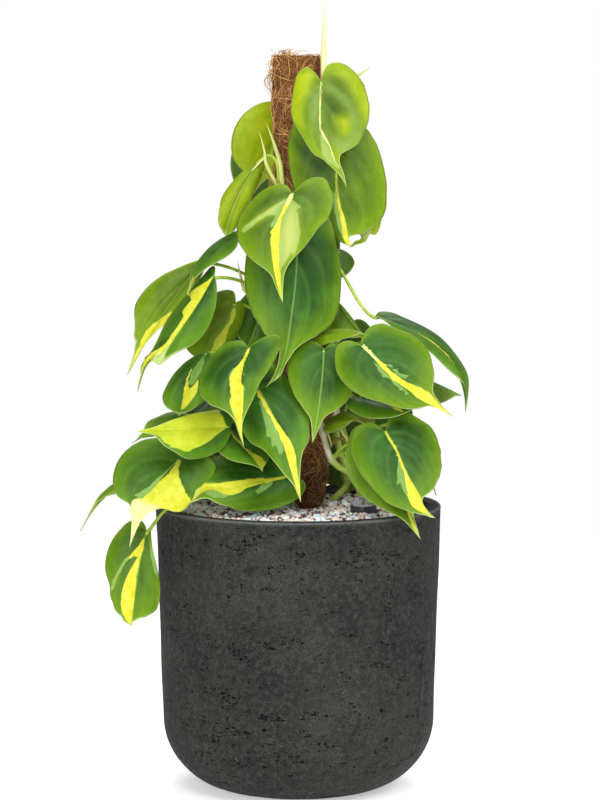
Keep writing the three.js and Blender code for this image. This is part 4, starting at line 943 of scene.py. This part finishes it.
def makeLooseEnds(seeded, finish):
    # at the cut top: arcs that leave the mat upwards and fall outwards, more of them on the left
    many, steps = coir["loose"], 12
    u = np.linspace(0, 1, steps)
    start = np.pi + seeded.normal(0, 1.1, (many, 1))
    reach = seeded.uniform(1, 7, (many, 1))
    climb = seeded.uniform(1, 9, (many, 1)) * (0.6 - 0.4 * np.cos(start))
    out = coirSkin(start, pole["top"] - 2) - 1 - seeded.uniform(0, 12, (many, 1)) + reach * u ** 2
    turn = start + seeded.normal(0, 0.8, (many, 1)) * u
    height = pole["top"] - 2 + climb * np.sin(seeded.uniform(1.2, 2.8, (many, 1)) * u)
    ends = np.stack([poleX(height) + out * np.cos(turn), out * np.sin(turn), height], -1)
    # long fibres that stand off the mat's left side near the top: each leaves it, bows out and drops back
    few = many // 3
    start = np.pi + seeded.uniform(-0.9, 1.0, (few, 1))
    top, drop = seeded.uniform(572, 592, (few, 1)), seeded.uniform(8, 34, (few, 1))
    bow = seeded.uniform(1.5, 7, (few, 1)) * np.sin(np.pi * u) ** 0.8
    turn = start + seeded.normal(0, 0.25, (few, 1)) * np.sin(2.5 * u)
    height = top - drop * u + 2.5 * np.sin(3 * np.pi * u) * seeded.uniform(-1, 1, (few, 1))
    standing = coirPoint(turn, np.clip(height, 300, pole["top"]), bow)
    # one fibre curled into a ring beside the top
    x, y, z, wide = coir["ring"]
    whole = np.linspace(0, 2 * np.pi, steps)
    ring = np.stack([x + wide * np.cos(whole), y - 1.5 * np.sin(whole), z + wide * np.sin(whole)], -1)[None]
    paths = np.concatenate([ends, standing, ring])
    radius = seeded.uniform(0.22, 0.42, (len(paths), 1)) * (1 - 0.5 * u)
    points, faces = tubes(paths, radius, 3)
    tone = np.repeat(0.6 + 0.4 * seeded.random(len(paths)), (steps + 2) * 3)
    makePiece("coirLooseEnds", points, faces, finish, "coir_pole",
              marks={"fibreTone": tone, "coirShade": 0.0})


def makeCoir():
    seeded = np.random.default_rng(coir["seed"])
    finish = coirFibre()
    makeCore(seeded, finish)
    makeFibres(seeded, finish)
    makeLooseEnds(seeded, finish)


makeCoir()
print("coir pole made")


# Leaves
blade = {
    # half outline of the heart, from the notch to the tip
    "heart": [(7, -6), (19, -13), (40, -16.5), (64, -14.5), (85, -5.5), (98, 8.5), (100, 23), (93, 37),
              (78, 50), (57, 61.5), (35, 70), (19, 76.5), (10, 83), (5, 90), (2, 95.5)],
    "widest": 0.23, "neckStart": 0.75, "ribStart": 0.22, "even": 0.45, "lobeDepth": 0.165,
    "fine": (81, 51), "plain": (53, 35),  # rows and columns of a leaf with its own edges and of a plain one
    "feather": [(-4, 0), (4, 0), (10, 20), (20, 34), (15, 50), (24, 62), (10, 80), (2, 100), (-6, 85),
                (-12, 62), (-5, 45), (-12, 30), (-5, 14)],
    "thick": 0.8, "dome": 3.0, "veins": 6, "quilt": 0.5, "groove": 0.35, "ridge": 0.9, "wave": 0.9,
    "blush": (0.02, 0.15),  # how young a full-grown blade looks inside and at its margin
}


def gridOf(leaf):  # rows and columns
    return blade["fine"] if "edges" in leaf else blade["plain"]


def sideOutline(leaf, half):
    # The leaf's own edge where it has one, else the heart's half with its lobe, widest place and neck moved.
    # Either runs as a smooth path from the notch to the tip, in rows that are even along its length.
    low = leaf.get("low", (blade["widest"],) * 2)[half]
    neck = leaf.get("neck", blade["neckStart"])
    corners = leaf["edges"][half] if "edges" in leaf else blade["heart"]
    x, y = np.array([(0, 0), *corners, (0, 100)]).T / 100
    if "edges" not in leaf:
        lobe, full = leaf.get("lobe", (1, 1))[half], leaf.get("full", (0, 0))[half]
        x = np.where(y > blade["widest"], x + full * x * (1 - x), x)
        lowered = np.interp(y, [0, blade["widest"], 1], [0, low, 1])
        y = np.where(y < 0, y * lobe, np.interp(lowered, [0, blade["neckStart"], 1], [0, neck, 1]))
    path = smoothPath(np.c_[blade["even"] * x, y], 400)
    gone = np.r_[0, np.cumsum(np.hypot(*np.diff(path, axis=0).T))]
    even = np.linspace(0, gone[-1], gridOf(leaf)[0])
    widest = np.interp(low, [0, blade["neckStart"], 1], [0, neck, 1])
    return np.interp(even, gone, path[:, 0]) / blade["even"], np.interp(even, gone, path[:, 1]), widest


def midrib(leaf, u):  # the quadratic curve from base over bend to tip
    base, bend, tip = (np.array(leaf[k], float) for k in ("base", "bend", "tip"))
    u = np.asarray(u, float)[..., None]
    return base * (1 - u) ** 2 + bend * 2 * u * (1 - u) + tip * u ** 2


def leafAxes(leaf):  # which way the blade faces, and which way its midrib sets out
    base, bend, tip = (np.array(leaf[k], float) for k in ("base", "bend", "tip"))
    pulls, halves = [], []
    for half, edge in enumerate((leaf["left"], leaf["right"])):
        x, y, widest = sideOutline(leaf, half)
        pulls.append(edge - midrib(leaf, widest))
        halves.append((x, y))
    face = unit(np.cross(tip - base, pulls[1] - pulls[0]))
    start = unit(unit(bend - base) + unit(tip - base))
    return base, bend, tip, pulls, halves, face, start


def bladeSheet(leaf, seeded):
    # A row fans out from a place on the midrib to a place on the outline, and a column is a share of that
    # way. The sheet is the midrib's curve, plus the share's mix of what the midrib sways aside and what the
    # outline stands off it, each times its half's pull. A dome over each half, the lobes bent back, waves
    # near the margin and a hook at the tip come on top.
    base, bend, tip, pulls, halves, face, start = leafAxes(leaf)
    length = np.linalg.norm(tip - base)
    rows, columns = gridOf(leaf)
    t = np.linspace(0, 1, rows)[:, None]
    s = np.linspace(-1, 1, columns)[None, :]
    share, leftSide = np.abs(s), s < 0
    sway = smoothPath(np.array([(0, 0), *leaf.get("sway", []), (100, 0)]) / 100, 200)
    rib = np.clip((t - blade["ribStart"]) / (1 - blade["ribStart"]), 0, 1) ** 1.7
    ribAside = np.interp(rib, sway[:, 0], sway[:, 1])
    edge = np.where(leftSide, -halves[0][0][:, None], halves[1][0][:, None])
    aside = ribAside * (1 - share) + edge * share
    along = rib * (1 - share) + np.where(leftSide, halves[0][1][:, None], halves[1][1][:, None]) * share
    standing = [np.where(reach[..., None] < 0, pulls[0], pulls[1]) * np.abs(reach)[..., None]
                for reach in (ribAside, edge)]
    mix = share[..., None]
    out = share * np.abs(edge - ribAside)
    back = np.minimum(along, 0)
    phase, waves = seeded.uniform(0, 2 * np.pi), seeded.uniform(2, 3.4)
    wave = leaf.get("wave", blade["wave"]) * np.sin(2 * np.pi * waves * t + phase + 1.3 * leftSide)
    off = blade["dome"] * 4 * out * np.clip(1 - out, 0, 1) - 2 * (back / blade["lobeDepth"]) ** 2
    off = off + wave * share ** 3 * np.sin(np.pi * t)
    hook = leaf.get("hook", 0) * np.sin(np.pi * np.clip((along - 0.72) / 0.28, 0, 1))
    sheet = midrib(leaf, np.clip(along, 0, 1)) + start * (length * back)[..., None]
    sheet = sheet + standing[0] * (1 - mix) + standing[1] * mix
    sheet = sheet + face * off[..., None] + unit(np.cross(face, tip - bend)) * hook[..., None]
    normal = np.cross(np.gradient(sheet, axis=0), np.gradient(sheet, axis=1))
    normal = unit(normal) * np.sign(np.sum(normal * face, -1).mean())
    far = np.minimum(np.linalg.norm(sheet - base, axis=-1) / 8, np.linalg.norm(sheet - tip, axis=-1) / 4)
    far = np.clip(far, 0, 1)[..., None]
    normal = unit(normal * far + face * (1 - far))  # steadied near both ends, where the rows crowd together
    wide = np.where(leftSide, np.linalg.norm(pulls[0]), np.linalg.norm(pulls[1])) + 0 * out
    rim = (1 - share) * wide * np.maximum(np.abs(edge - ribAside), 0.02)
    return sheet, normal, aside, along, s + 0 * t, t + 0 * s, length, wide, rim, out * wide


def depthInside(across, along, corners):
    # how far a place lies inside a patch's outline: the least distance to its sides, negative outside
    p = np.stack([across, along], -1)[..., None, :]
    a = np.array(corners, float)
    b = np.roll(a, -1, 0)
    share = np.clip(np.sum((p - a) * (b - a), -1) / np.sum((b - a) ** 2, -1), 0, 1)[..., None]
    apart = np.linalg.norm(p - a - (b - a) * share, axis=-1).min(-1)
    y = p[..., 1]
    crossing = (a[:, 1] > y) != (b[:, 1] > y)
    rise = np.where(b[:, 1] == a[:, 1], 1e-9, b[:, 1] - a[:, 1])
    reach = (b[:, 0] - a[:, 0]) * (y - a[:, 1]) / rise + a[:, 0]
    inside = (crossing & (p[..., 0] < reach)).sum(-1) % 2 == 1
    return np.where(inside, apart, -apart)


def patchField(patches, across, along, wide, length):  # the nearest patch counts, in millimetres
    field = np.full(across.shape, -30.0)
    size = np.array([wide.mean(), length])
    for corners in patches:
        depth = depthInside(across * size[0], along * size[1], np.array(corners) / 100 * size)
        field = np.maximum(field, depth)
    return field


def leafSkin():
    # Waxy leaf skin: satin, dark green and cool at the middle, warmer and lighter towards the margin, paler
    # and duller below, and yellow, cream or pale green where it has little green in it
    material, tree, principled = startMaterial("waxyLeafSkin", IOR=1.42, Specular_IOR_Level=0.22)
    mark = {name: add(tree, "Attribute", "Fac", attribute_name=name)
            for name in ("gold", "pale", "cream", "dim", "deep", "greySheen", "young", "rim", "mid", "vein",
                         "share", "under", "seed")}
    point = add(tree, "TexCoord", "Object")
    # noises that run along the side veins, and cloudy ones
    ribs = add(tree, "Math", operation="MULTIPLY", in0=mark["vein"], in1=26.0)
    acrossIt = add(tree, "Math", operation="MULTIPLY", in0=mark["share"], in1=1.6)
    byVein = add(tree, "CombineXYZ", in0=ribs, in1=acrossIt, in2=mark["seed"])
    noise = {}
    for name, place, scale, detail, rough, low, high, first in (
            ("teeth", byVein, 1.0, 2.0, 0.6, 0.3, 0.7, -1.0),
            ("broad", byVein, 0.33, 1.0, 0.5, 0.35, 0.65, 0.0),
            ("streak", byVein, 2.2, 3.0, 0.5, 0.3, 0.7, 0.0),
            ("cloud", point, 45.0, 4.0, 0.6, 0.3, 0.7, 0.0),
            ("blot", point, 170.0, 3.0, 0.5, 0.3, 0.7, 0.0)):
        raw = add(tree, "TexNoise", in2=scale, in3=detail, in4=rough, Vector=place)
        noise[name] = add(tree, "MapRange", in0=raw, in1=low, in2=high, in3=first, in4=1.0)
    tone = add(tree, "Math", operation="MULTIPLY", in0=noise["cloud"], in1=0.38)
    for name, weight in (("broad", 0.28), ("blot", 0.24), ("streak", 0.1)):
        tone = add(tree, "Math", operation="MULTIPLY_ADD", in0=noise[name], in1=weight, in2=tone)
    # two colours each for grown green, young lime, soft pale green, gold, and a greener gold painted on
    # blades in shade as light coming through them
    tint = {}
    for name, share, first, last in (
            ("green", tone, "#0b2e07", "#3a721e"), ("lime", tone, "#7c9a02", "#b6c31c"),
            ("soft", mark["young"], "#749d48", "#b2be62"), ("gold", noise["blot"], "#c8c21c", "#e4dc50"),
            ("flat", tone, "#98b20c", "#bccd30")):
        tint[name] = add(tree, "Mix", 2, data_type="RGBA", in0=share, in6=linear(first), in7=linear(last))
    glow = add(tree, "MapRange", in0=mark["rim"], in1=0.0, in2=15.0, in3=0.42, in4=0.0)
    # pale lines: thin ones at the side veins, clear of the margin, and one at the midrib
    rung = add(tree, "Math", operation="MULTIPLY", in0=mark["vein"], in1=float(blade["veins"]))
    rung = add(tree, "Math", operation="PINGPONG", in0=rung, in1=0.5)
    line = add(tree, "MapRange", in0=rung, in1=0.0, in2=0.2, in3=0.08, in4=0.0)
    outer = add(tree, "MapRange", in0=mark["rim"], in1=3.0, in2=18.0)
    line = add(tree, "Math", operation="MULTIPLY", in0=line, in1=outer)
    midline = add(tree, "MapRange", in0=mark["mid"], in1=0.3, in2=1.1, in3=0.5, in4=0.0)
    line = add(tree, "Math", operation="MAXIMUM", in0=line, in1=midline)
    # a patch's field is its distance inside the outline, with teeth that run along the veins added to it
    fields = [add(tree, "Math", operation="MULTIPLY_ADD", in0=noise["teeth"], in1=teeth, in2=mark[name])
              for name, teeth in (("pale", 0.6), ("gold", 1.2), ("gold", 0.5))]
    patch = add(tree, "Math", operation="MAXIMUM", in0=fields[1], in1=fields[0])
    patch, wedge = (add(tree, "MapRange", in0=field, in1=-0.2, in2=0.4) for field in (patch, fields[2]))
    yellow = tint["gold"]
    # on a blade in shade, by its dim mark, the gold is painted greener: painted glow of light through the
    # leaf
    for share, colour in ((mark["dim"], tint["flat"]), (mark["cream"], linear("#ebe392"))):
        yellow = add(tree, "Mix", 2, data_type="RGBA", in0=share, in6=yellow, in7=colour)
    edge = add(tree, "MapRange", in0=mark["rim"], in1=0.25, in2=0.7, in3=0.7, in4=0.0)
    # deep patches: partly the blade's own darker green, partly painted shadow cast by the leaves above
    deep, skySheen, below = (add(tree, "Math", operation="MULTIPLY", in0=mark[name], in1=most)
                          for name, most in (("deep", 0.7), ("greySheen", 0.55), ("under", 0.5)))
    # greySheen patches are painted sheen: grey green where the waxy skin reflects the sky
    base = tint["green"]
    # young lime is the young skin's own colour; on the most lime blades it is also painted glow of light
    # through them
    for share, colour in (
            (glow, linear("#5f980f")), (mark["young"], tint["lime"]), (deep, linear("#1d4406")),
            (skySheen, linear("#88a362")), (line, linear("#8db55c")), (patch, tint["soft"]), (wedge, yellow),
            (edge, linear("#bfd083")), (below, linear("#6c9048"))):
        base = add(tree, "Mix", 2, data_type="RGBA", in0=share, in6=base, in7=colour)
    rough = add(tree, "MapRange", in0=mark["under"], in3=0.42, in4=0.6)
    fine = add(tree, "TexNoise", in2=600.0, in3=3.0, Vector=point)
    rise = add(tree, "Math", operation="MULTIPLY_ADD", in0=noise["streak"], in1=0.5, in2=fine)
    normal = add(tree, "Bump", Height=rise, Distance=0.00022, Strength=0.7)
    feed(tree, principled, Base_Color=base, Roughness=rough, Normal=normal)
    return material


def makeLeaf(name, leaf, node, number, finish):
    # The leaf's two skins lie half its thickness either side of the sheet and meet at the margin. Relief
    # above is a groove along the midrib and a swelling between veins, and below a ridge under the midrib. A
    # vein sets out along the rows and bends towards the tip: its number is the row less a quarter of the
    # share and a fifth of the share's square.
    seeded = np.random.default_rng(100 + number)
    sheet, normal, aside, along, s, t, length, wide, rim, mid = bladeSheet(leaf, seeded)
    share = np.abs(s)
    vein = t - np.clip((t - 0.15) / 0.5, 0, 1) * (0.25 * share + 0.2 * share ** 2)
    if node == "vine_back" and "young" not in leaf:  # a feather of gold, wider or narrower, on either side
        broad = seeded.uniform(0.5, 2.0) * (-1) ** number
        leaf = {**leaf, "gold": [np.array(blade["feather"]) * [broad, 1]]}
    field = {key: patchField(leaf.get(key, []), aside, along, wide, length)
             for key in ("gold", "pale", "cream", "lime", "deep", "greySheen")}
    # the quilting is calm at the margin, the midrib and the tip, and on a small blade
    calm = np.clip(rim / 8, 0, 1) * np.clip(mid / 3, 0, 1) * np.clip((1 - t) / 0.3, 0, 1)
    calm = calm * np.minimum(wide / 40, 1) * (0.45 + 0.8 * np.exp(-mid / 14))
    relief = blade["quilt"] * calm * (np.abs(np.sin(np.pi * blade["veins"] * vein)) ** 0.8 - 0.6)
    green = field["gold"] < -3
    groove = blade["groove"] * np.exp(-(mid / 1.6) ** 2) * np.clip((1 - along) / 0.3, 0, 1) * green
    ridge = blade["ridge"] * np.exp(-(mid / 0.9) ** 2) * np.clip((1 - along) / 0.8, 0, 1)
    thick = blade["thick"] * (1 - share ** 6)
    top = sheet + normal * (thick / 2 + relief - groove)[..., None]
    low = sheet - normal * (thick / 2 - relief + ridge * (share < 1))[..., None]
    rows, columns = share.shape
    faces = gridFaces(rows, columns)
    faces = np.vstack([faces[:, ::-1], faces + rows * columns])
    soft = {key: np.clip(field[key] / 9 + 0.4, 0, 1) for key in ("lime", "deep", "greySheen")}
    inner, outer = leaf.get("young", blade["blush"])
    young = inner + (outer - inner) * np.exp(-rim / 8)
    young = young + (0.95 - young) * soft["lime"]
    twice = {"gold": field["gold"], "pale": field["pale"], "cream": np.clip(field["cream"] / 4 + 0.5, 0, 1),
             "deep": soft["deep"], "greySheen": soft["greySheen"], "young": young, "rim": rim, "mid": mid, "vein": vein,
             "share": s + 10 * np.sign(s)}  # ten apart, so that the two halves never have the same noise
    marks = {key: np.tile(value.ravel(), 2) for key, value in twice.items()}
    marks["under"] = np.repeat([0.0, 1.0], rows * columns)
    marks["dim"] = leaf.get("dim", 0.0)
    marks["seed"] = 7.3 * number
    points = np.vstack([top.reshape(-1, 3), low.reshape(-1, 3)])
    makePiece(name, points, faces, finish, node, marks=marks)


def stalkSkin():
    # Stems and leaf stalks: smooth green skin that turns cork beige with age, cream on a leaf still rolled,
    # and brown where a root or a sheath has dried
    material, tree, principled = startMaterial("smoothStemSkin", Roughness=0.45, IOR=1.45)
    point = add(tree, "TexCoord", "Object")
    age, cream, dry = (add(tree, "Attribute", "Fac", attribute_name=name) for name in ("age", "cream", "dry"))
    cloud = add(tree, "TexNoise", in2=140.0, in3=3.0, Vector=point)
    cloud = add(tree, "MapRange", in0=cloud, in1=0.3, in2=0.7)
    green = add(tree, "Mix", 2, data_type="RGBA", in0=cloud, in6=linear("#8cae24"), in7=linear("#c2d856"))
    cork = add(tree, "Mix", 2, data_type="RGBA", in0=cloud, in6=linear("#c4bc94"), in7=linear("#efead0"))
    base = green
    for share, colour in ((age, cork), (cream, linear("#f6e9a8")), (dry, linear("#7a4216"))):
        base = add(tree, "Mix", 2, data_type="RGBA", in0=share, in6=base, in7=colour)
    grained(tree, principled, base, point, 700.0, 0.0001, 0.4)
    return material


plant = {
    "stem": 2.6, "joint": 0.7, "stemFoot": 176, "stemSides": 12,
    "stalk": 1.3, "stalkSides": 9, "stalkSteps": 26, "shootSteps": 24, "shootSides": 10,
    # share of its thickness, and share of its length, of a sheath or a rolled leaf
    "sheath": [(0.3, 0), (0.85, 0.12), (1, 0.35), (0.72, 0.7), (0.06, 1)],
}


def stalkPath(leaf, start):
    # a cubic that rises from the stem and enters the blade's notch from behind, or a path over given places
    base, *_, face, onward = leafAxes(leaf)  # the blade's midrib and halves aren't needed here
    steps = plant["stalkSteps"]
    end = base + 3 * onward
    if "over" in leaf:
        return smoothPath([start, *leaf["over"], end], steps)
    reach = np.linalg.norm(base - start)
    first = start + 0.33 * (base - start) + np.array([0, 0, 0.16 * reach])
    last = base - 0.16 * reach * face - 0.1 * reach * onward
    u = np.linspace(0, 1, steps)[:, None]
    return (1 - u) ** 3 * start + 3 * u * (1 - u) ** 2 * first + 3 * u ** 2 * (1 - u) * last + u ** 3 * end


def stemTube(path, joints, cork):  # thicker at each joint by a bell curve, and corky between two heights
    near = np.linalg.norm(path[:, None] - joints[None], axis=-1).min(1)
    radius = plant["stem"] + plant["joint"] * np.exp(-(near / 2.2) ** 2)
    low, high = cork
    age = np.clip((path[:, 2] - low + 4) / 8, 0.1, 1) * np.clip((high + 30 - path[:, 2]) / 60, 0.1, 0.95)
    points, faces = tubes(path[None], radius, plant["stemSides"])
    age = np.repeat(np.r_[age[0], age, age[-1]], plant["stemSides"])
    return points, faces, {"age": age, "cream": 0.0, "dry": 0.0}


def stalkTube(way):  # swollen by a bell curve where it leaves the stem, and a little at the blade
    u = np.linspace(0, 1, len(way))
    radius = plant["stalk"] + 0.8 * np.exp(-(u / 0.10) ** 2) + 0.25 * np.exp(-((1 - u) / 0.1) ** 2)
    points, faces = tubes(way[None], radius, plant["stalkSides"])
    return points, faces, {"age": 0.0, "cream": 0.0, "dry": 0.0}


def shootTube(shoot):  # a sheath, a rolled leaf or a root end along its own way
    steps = plant["shootSteps"]
    swell = smoothPath(plant["sheath"], 80)
    radius = shoot["radius"] * np.interp(np.linspace(0, 1, steps), swell[:, 1], swell[:, 0])
    points, faces = tubes(smoothPath(shoot["way"], steps)[None], radius, plant["shootSides"])
    return points, faces, {"age": 0.0, "cream": shoot.get("cream", 0), "dry": shoot.get("dry", 0)}


def makeVines():
    # each stem climbs its route, and a leaf's stalk leaves it where it first reaches the leaf's own height
    skin, stalk = leafSkin(), stalkSkin()
    number = 0
    for vineName, vine in vines.items():
        node = "vine_" + vineName
        places = [(*vine["foot"], z) for z in (plant["stemFoot"], 200, 224)] + vine["route"]
        path = smoothPath(places, 14 * len(places))
        joints = []
        for order, leaf in enumerate(vine["leaves"]):
            above = np.nonzero(path[:, 2] >= leaf["stem"])[0]
            joints.append(path[above[0] if len(above) else -1])
            number += 1
            makeLeaf("%sLeaf%d" % (vineName, order + 1), leaf, node, number, skin)
        parts = [stemTube(path, np.array(joints), vine.get("cork", (226, 300)))]
        parts += [stalkTube(stalkPath(leaf, start)) for leaf, start in zip(vine["leaves"], joints)]
        parts += [shootTube(shoot) for shoot in vine.get("shoots", [])]
        points, faces, marks = joined(parts)
        makePiece(vineName + "Stems", points, faces, stalk, node, marks=marks)
        print(vineName, "vine made:", len(vine["leaves"]), "leaves")


makeVines()


# Water gauge and stopper
def mouldedPlastic(name, colour, rough, **shader):
    # Injection moulded plastic: even, slightly glossy, with the mould's faint grain
    material, tree, principled = startMaterial(name, Roughness=rough, IOR=1.5, **shader)
    point = add(tree, "TexCoord", "Object")
    cloud = add(tree, "TexNoise", in2=60.0, in3=2.0, Vector=point)
    cloud = add(tree, "MapRange", in0=cloud, in1=0.3, in2=0.7, in4=0.25)
    base = add(tree, "Mix", 2, data_type="RGBA", in0=cloud, in6=linear(colour), in7=linear("#808088"))
    grained(tree, principled, base, point, 1400.0, 0.0001, 0.3)
    return material


def rounded(profile, radius, steps=5):
    # each inner corner of a profile turns into a quadratic arc that starts radius away on both sides
    out = [np.array(profile[0], float)]
    for before, corner, after in zip(profile, profile[1:], profile[2:]):
        before, corner, after = (np.array(p, float) for p in (before, corner, after))
        cut = [min(radius, 0.45 * np.linalg.norm(p - corner)) for p in (before, after)]
        a, b = corner + unit(before - corner) * cut[0], corner + unit(after - corner) * cut[1]
        u = np.linspace(0, 1, steps)[:, None]
        out.extend((1 - u) ** 2 * a + 2 * u * (1 - u) * corner + u ** 2 * b)
    return np.array(out + [np.array(profile[-1], float)])


def domed(radius, top, rise):  # a quarter ellipse from the outside up to the axis
    return [(radius * math.cos(a), top - rise + rise * math.sin(a)) for a in np.linspace(0, np.pi / 2, 14)]


def makeGauge():  # a turned housing with a well, a dial sunk in it and a clear dome over the dial
    x, y, radius, shaft, seat = (gauge[k] for k in ("x", "y", "radius", "shaft", "seat"))
    lip, slack = radius - gauge["lip"], gauge["slack"]
    low = gauge["dial"] - 1.6
    housing = rounded([(0, gauge["foot"]), (shaft, gauge["foot"]), (shaft, seat), (radius, seat),
                       (radius, gauge["ring"]), (lip, gauge["ring"]), (lip, low), (0, low)], 0.6)
    points, faces = turned(housing, 64, x, y)
    dark = mouldedPlastic("darkMouldedPlastic", "#221b2a", 0.3)
    makePiece("gaugeHousing", points, faces, dark, "gauge_housing")
    inside = lip - slack
    under, over = low + slack, gauge["dial"]
    dial = rounded([(0, under), (inside, under), (inside, over), (0, over)], 0.3)
    points, faces = turned(dial, 48, x, y)
    pale = mouldedPlastic("paleDialPlastic", "#d9d2ea", 0.5)
    makePiece("gaugeDial", points, faces, pale, "gauge_dial")
    under = over + slack
    points, faces = turned([(0, under), (inside, under), *domed(inside, gauge["dome"], 4)], 64, x, y)
    clear = mouldedPlastic("clearPolycarbonate", "#f2f0f8", 0.06, Transmission_Weight=0.85)
    makePiece("gaugeWindow", points, faces, clear, "gauge_window")


def makeStopper():  # a turned shaft under a domed head
    x, y, radius, shaft = (stopper[k] for k in ("x", "y", "radius", "shaft"))
    foot, seat, top = (stopper[k] for k in ("foot", "seat", "top"))
    profile = [(0, foot), (shaft, foot), (shaft, seat), (radius, seat), *domed(radius, top, stopper["crown"])]
    points, faces = turned(profile, 48, x, y)
    grey = mouldedPlastic("greyMouldedPlastic", "#34373a", 0.35)
    makePiece("stopperCap", points, faces, grey, "watering_stopper")


makeGauge()
makeStopper()
print("gauge and stopper made")


# Nodes shown as they are
def growingMix():  # peat and bark: dark and crumbly
    material, tree, principled = startMaterial("dampGrowingMix", Roughness=0.95)
    point = add(tree, "TexCoord", "Object")
    crumb = add(tree, "TexNoise", in2=300.0, in3=5.0, in4=0.7, Vector=point)
    base = add(tree, "Mix", 2, data_type="RGBA", in0=crumb, in6=linear("#2a1a11"), in7=linear("#7a5438"))
    feed(tree, principled, Base_Color=base, Normal=add(tree, "Bump", Height=crumb, Distance=0.001))
    return material


def stakeWood():  # sawn softwood: long pale grain
    material, tree, principled = startMaterial("sawnStakeWood", Roughness=0.7)
    point = add(tree, "TexCoord", "Object")
    tall = add(tree, "Mapping", Vector=point, Scale=(600, 600, 12))
    grain = add(tree, "TexNoise", in2=1.0, in3=4.0, in4=0.6, Vector=tall)
    base = add(tree, "Mix", 2, data_type="RGBA", in0=grain, in6=linear("#86653c"), in7=linear("#c19c66"))
    feed(tree, principled, Base_Color=base, Normal=add(tree, "Bump", Height=grain, Distance=0.0003))
    return material


for name, finish in (("growing_mix", growingMix()), ("pole_stake", stakeWood())):
    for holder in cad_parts[name].material_slots:
        holder.material = finish
print("inner parts dressed")
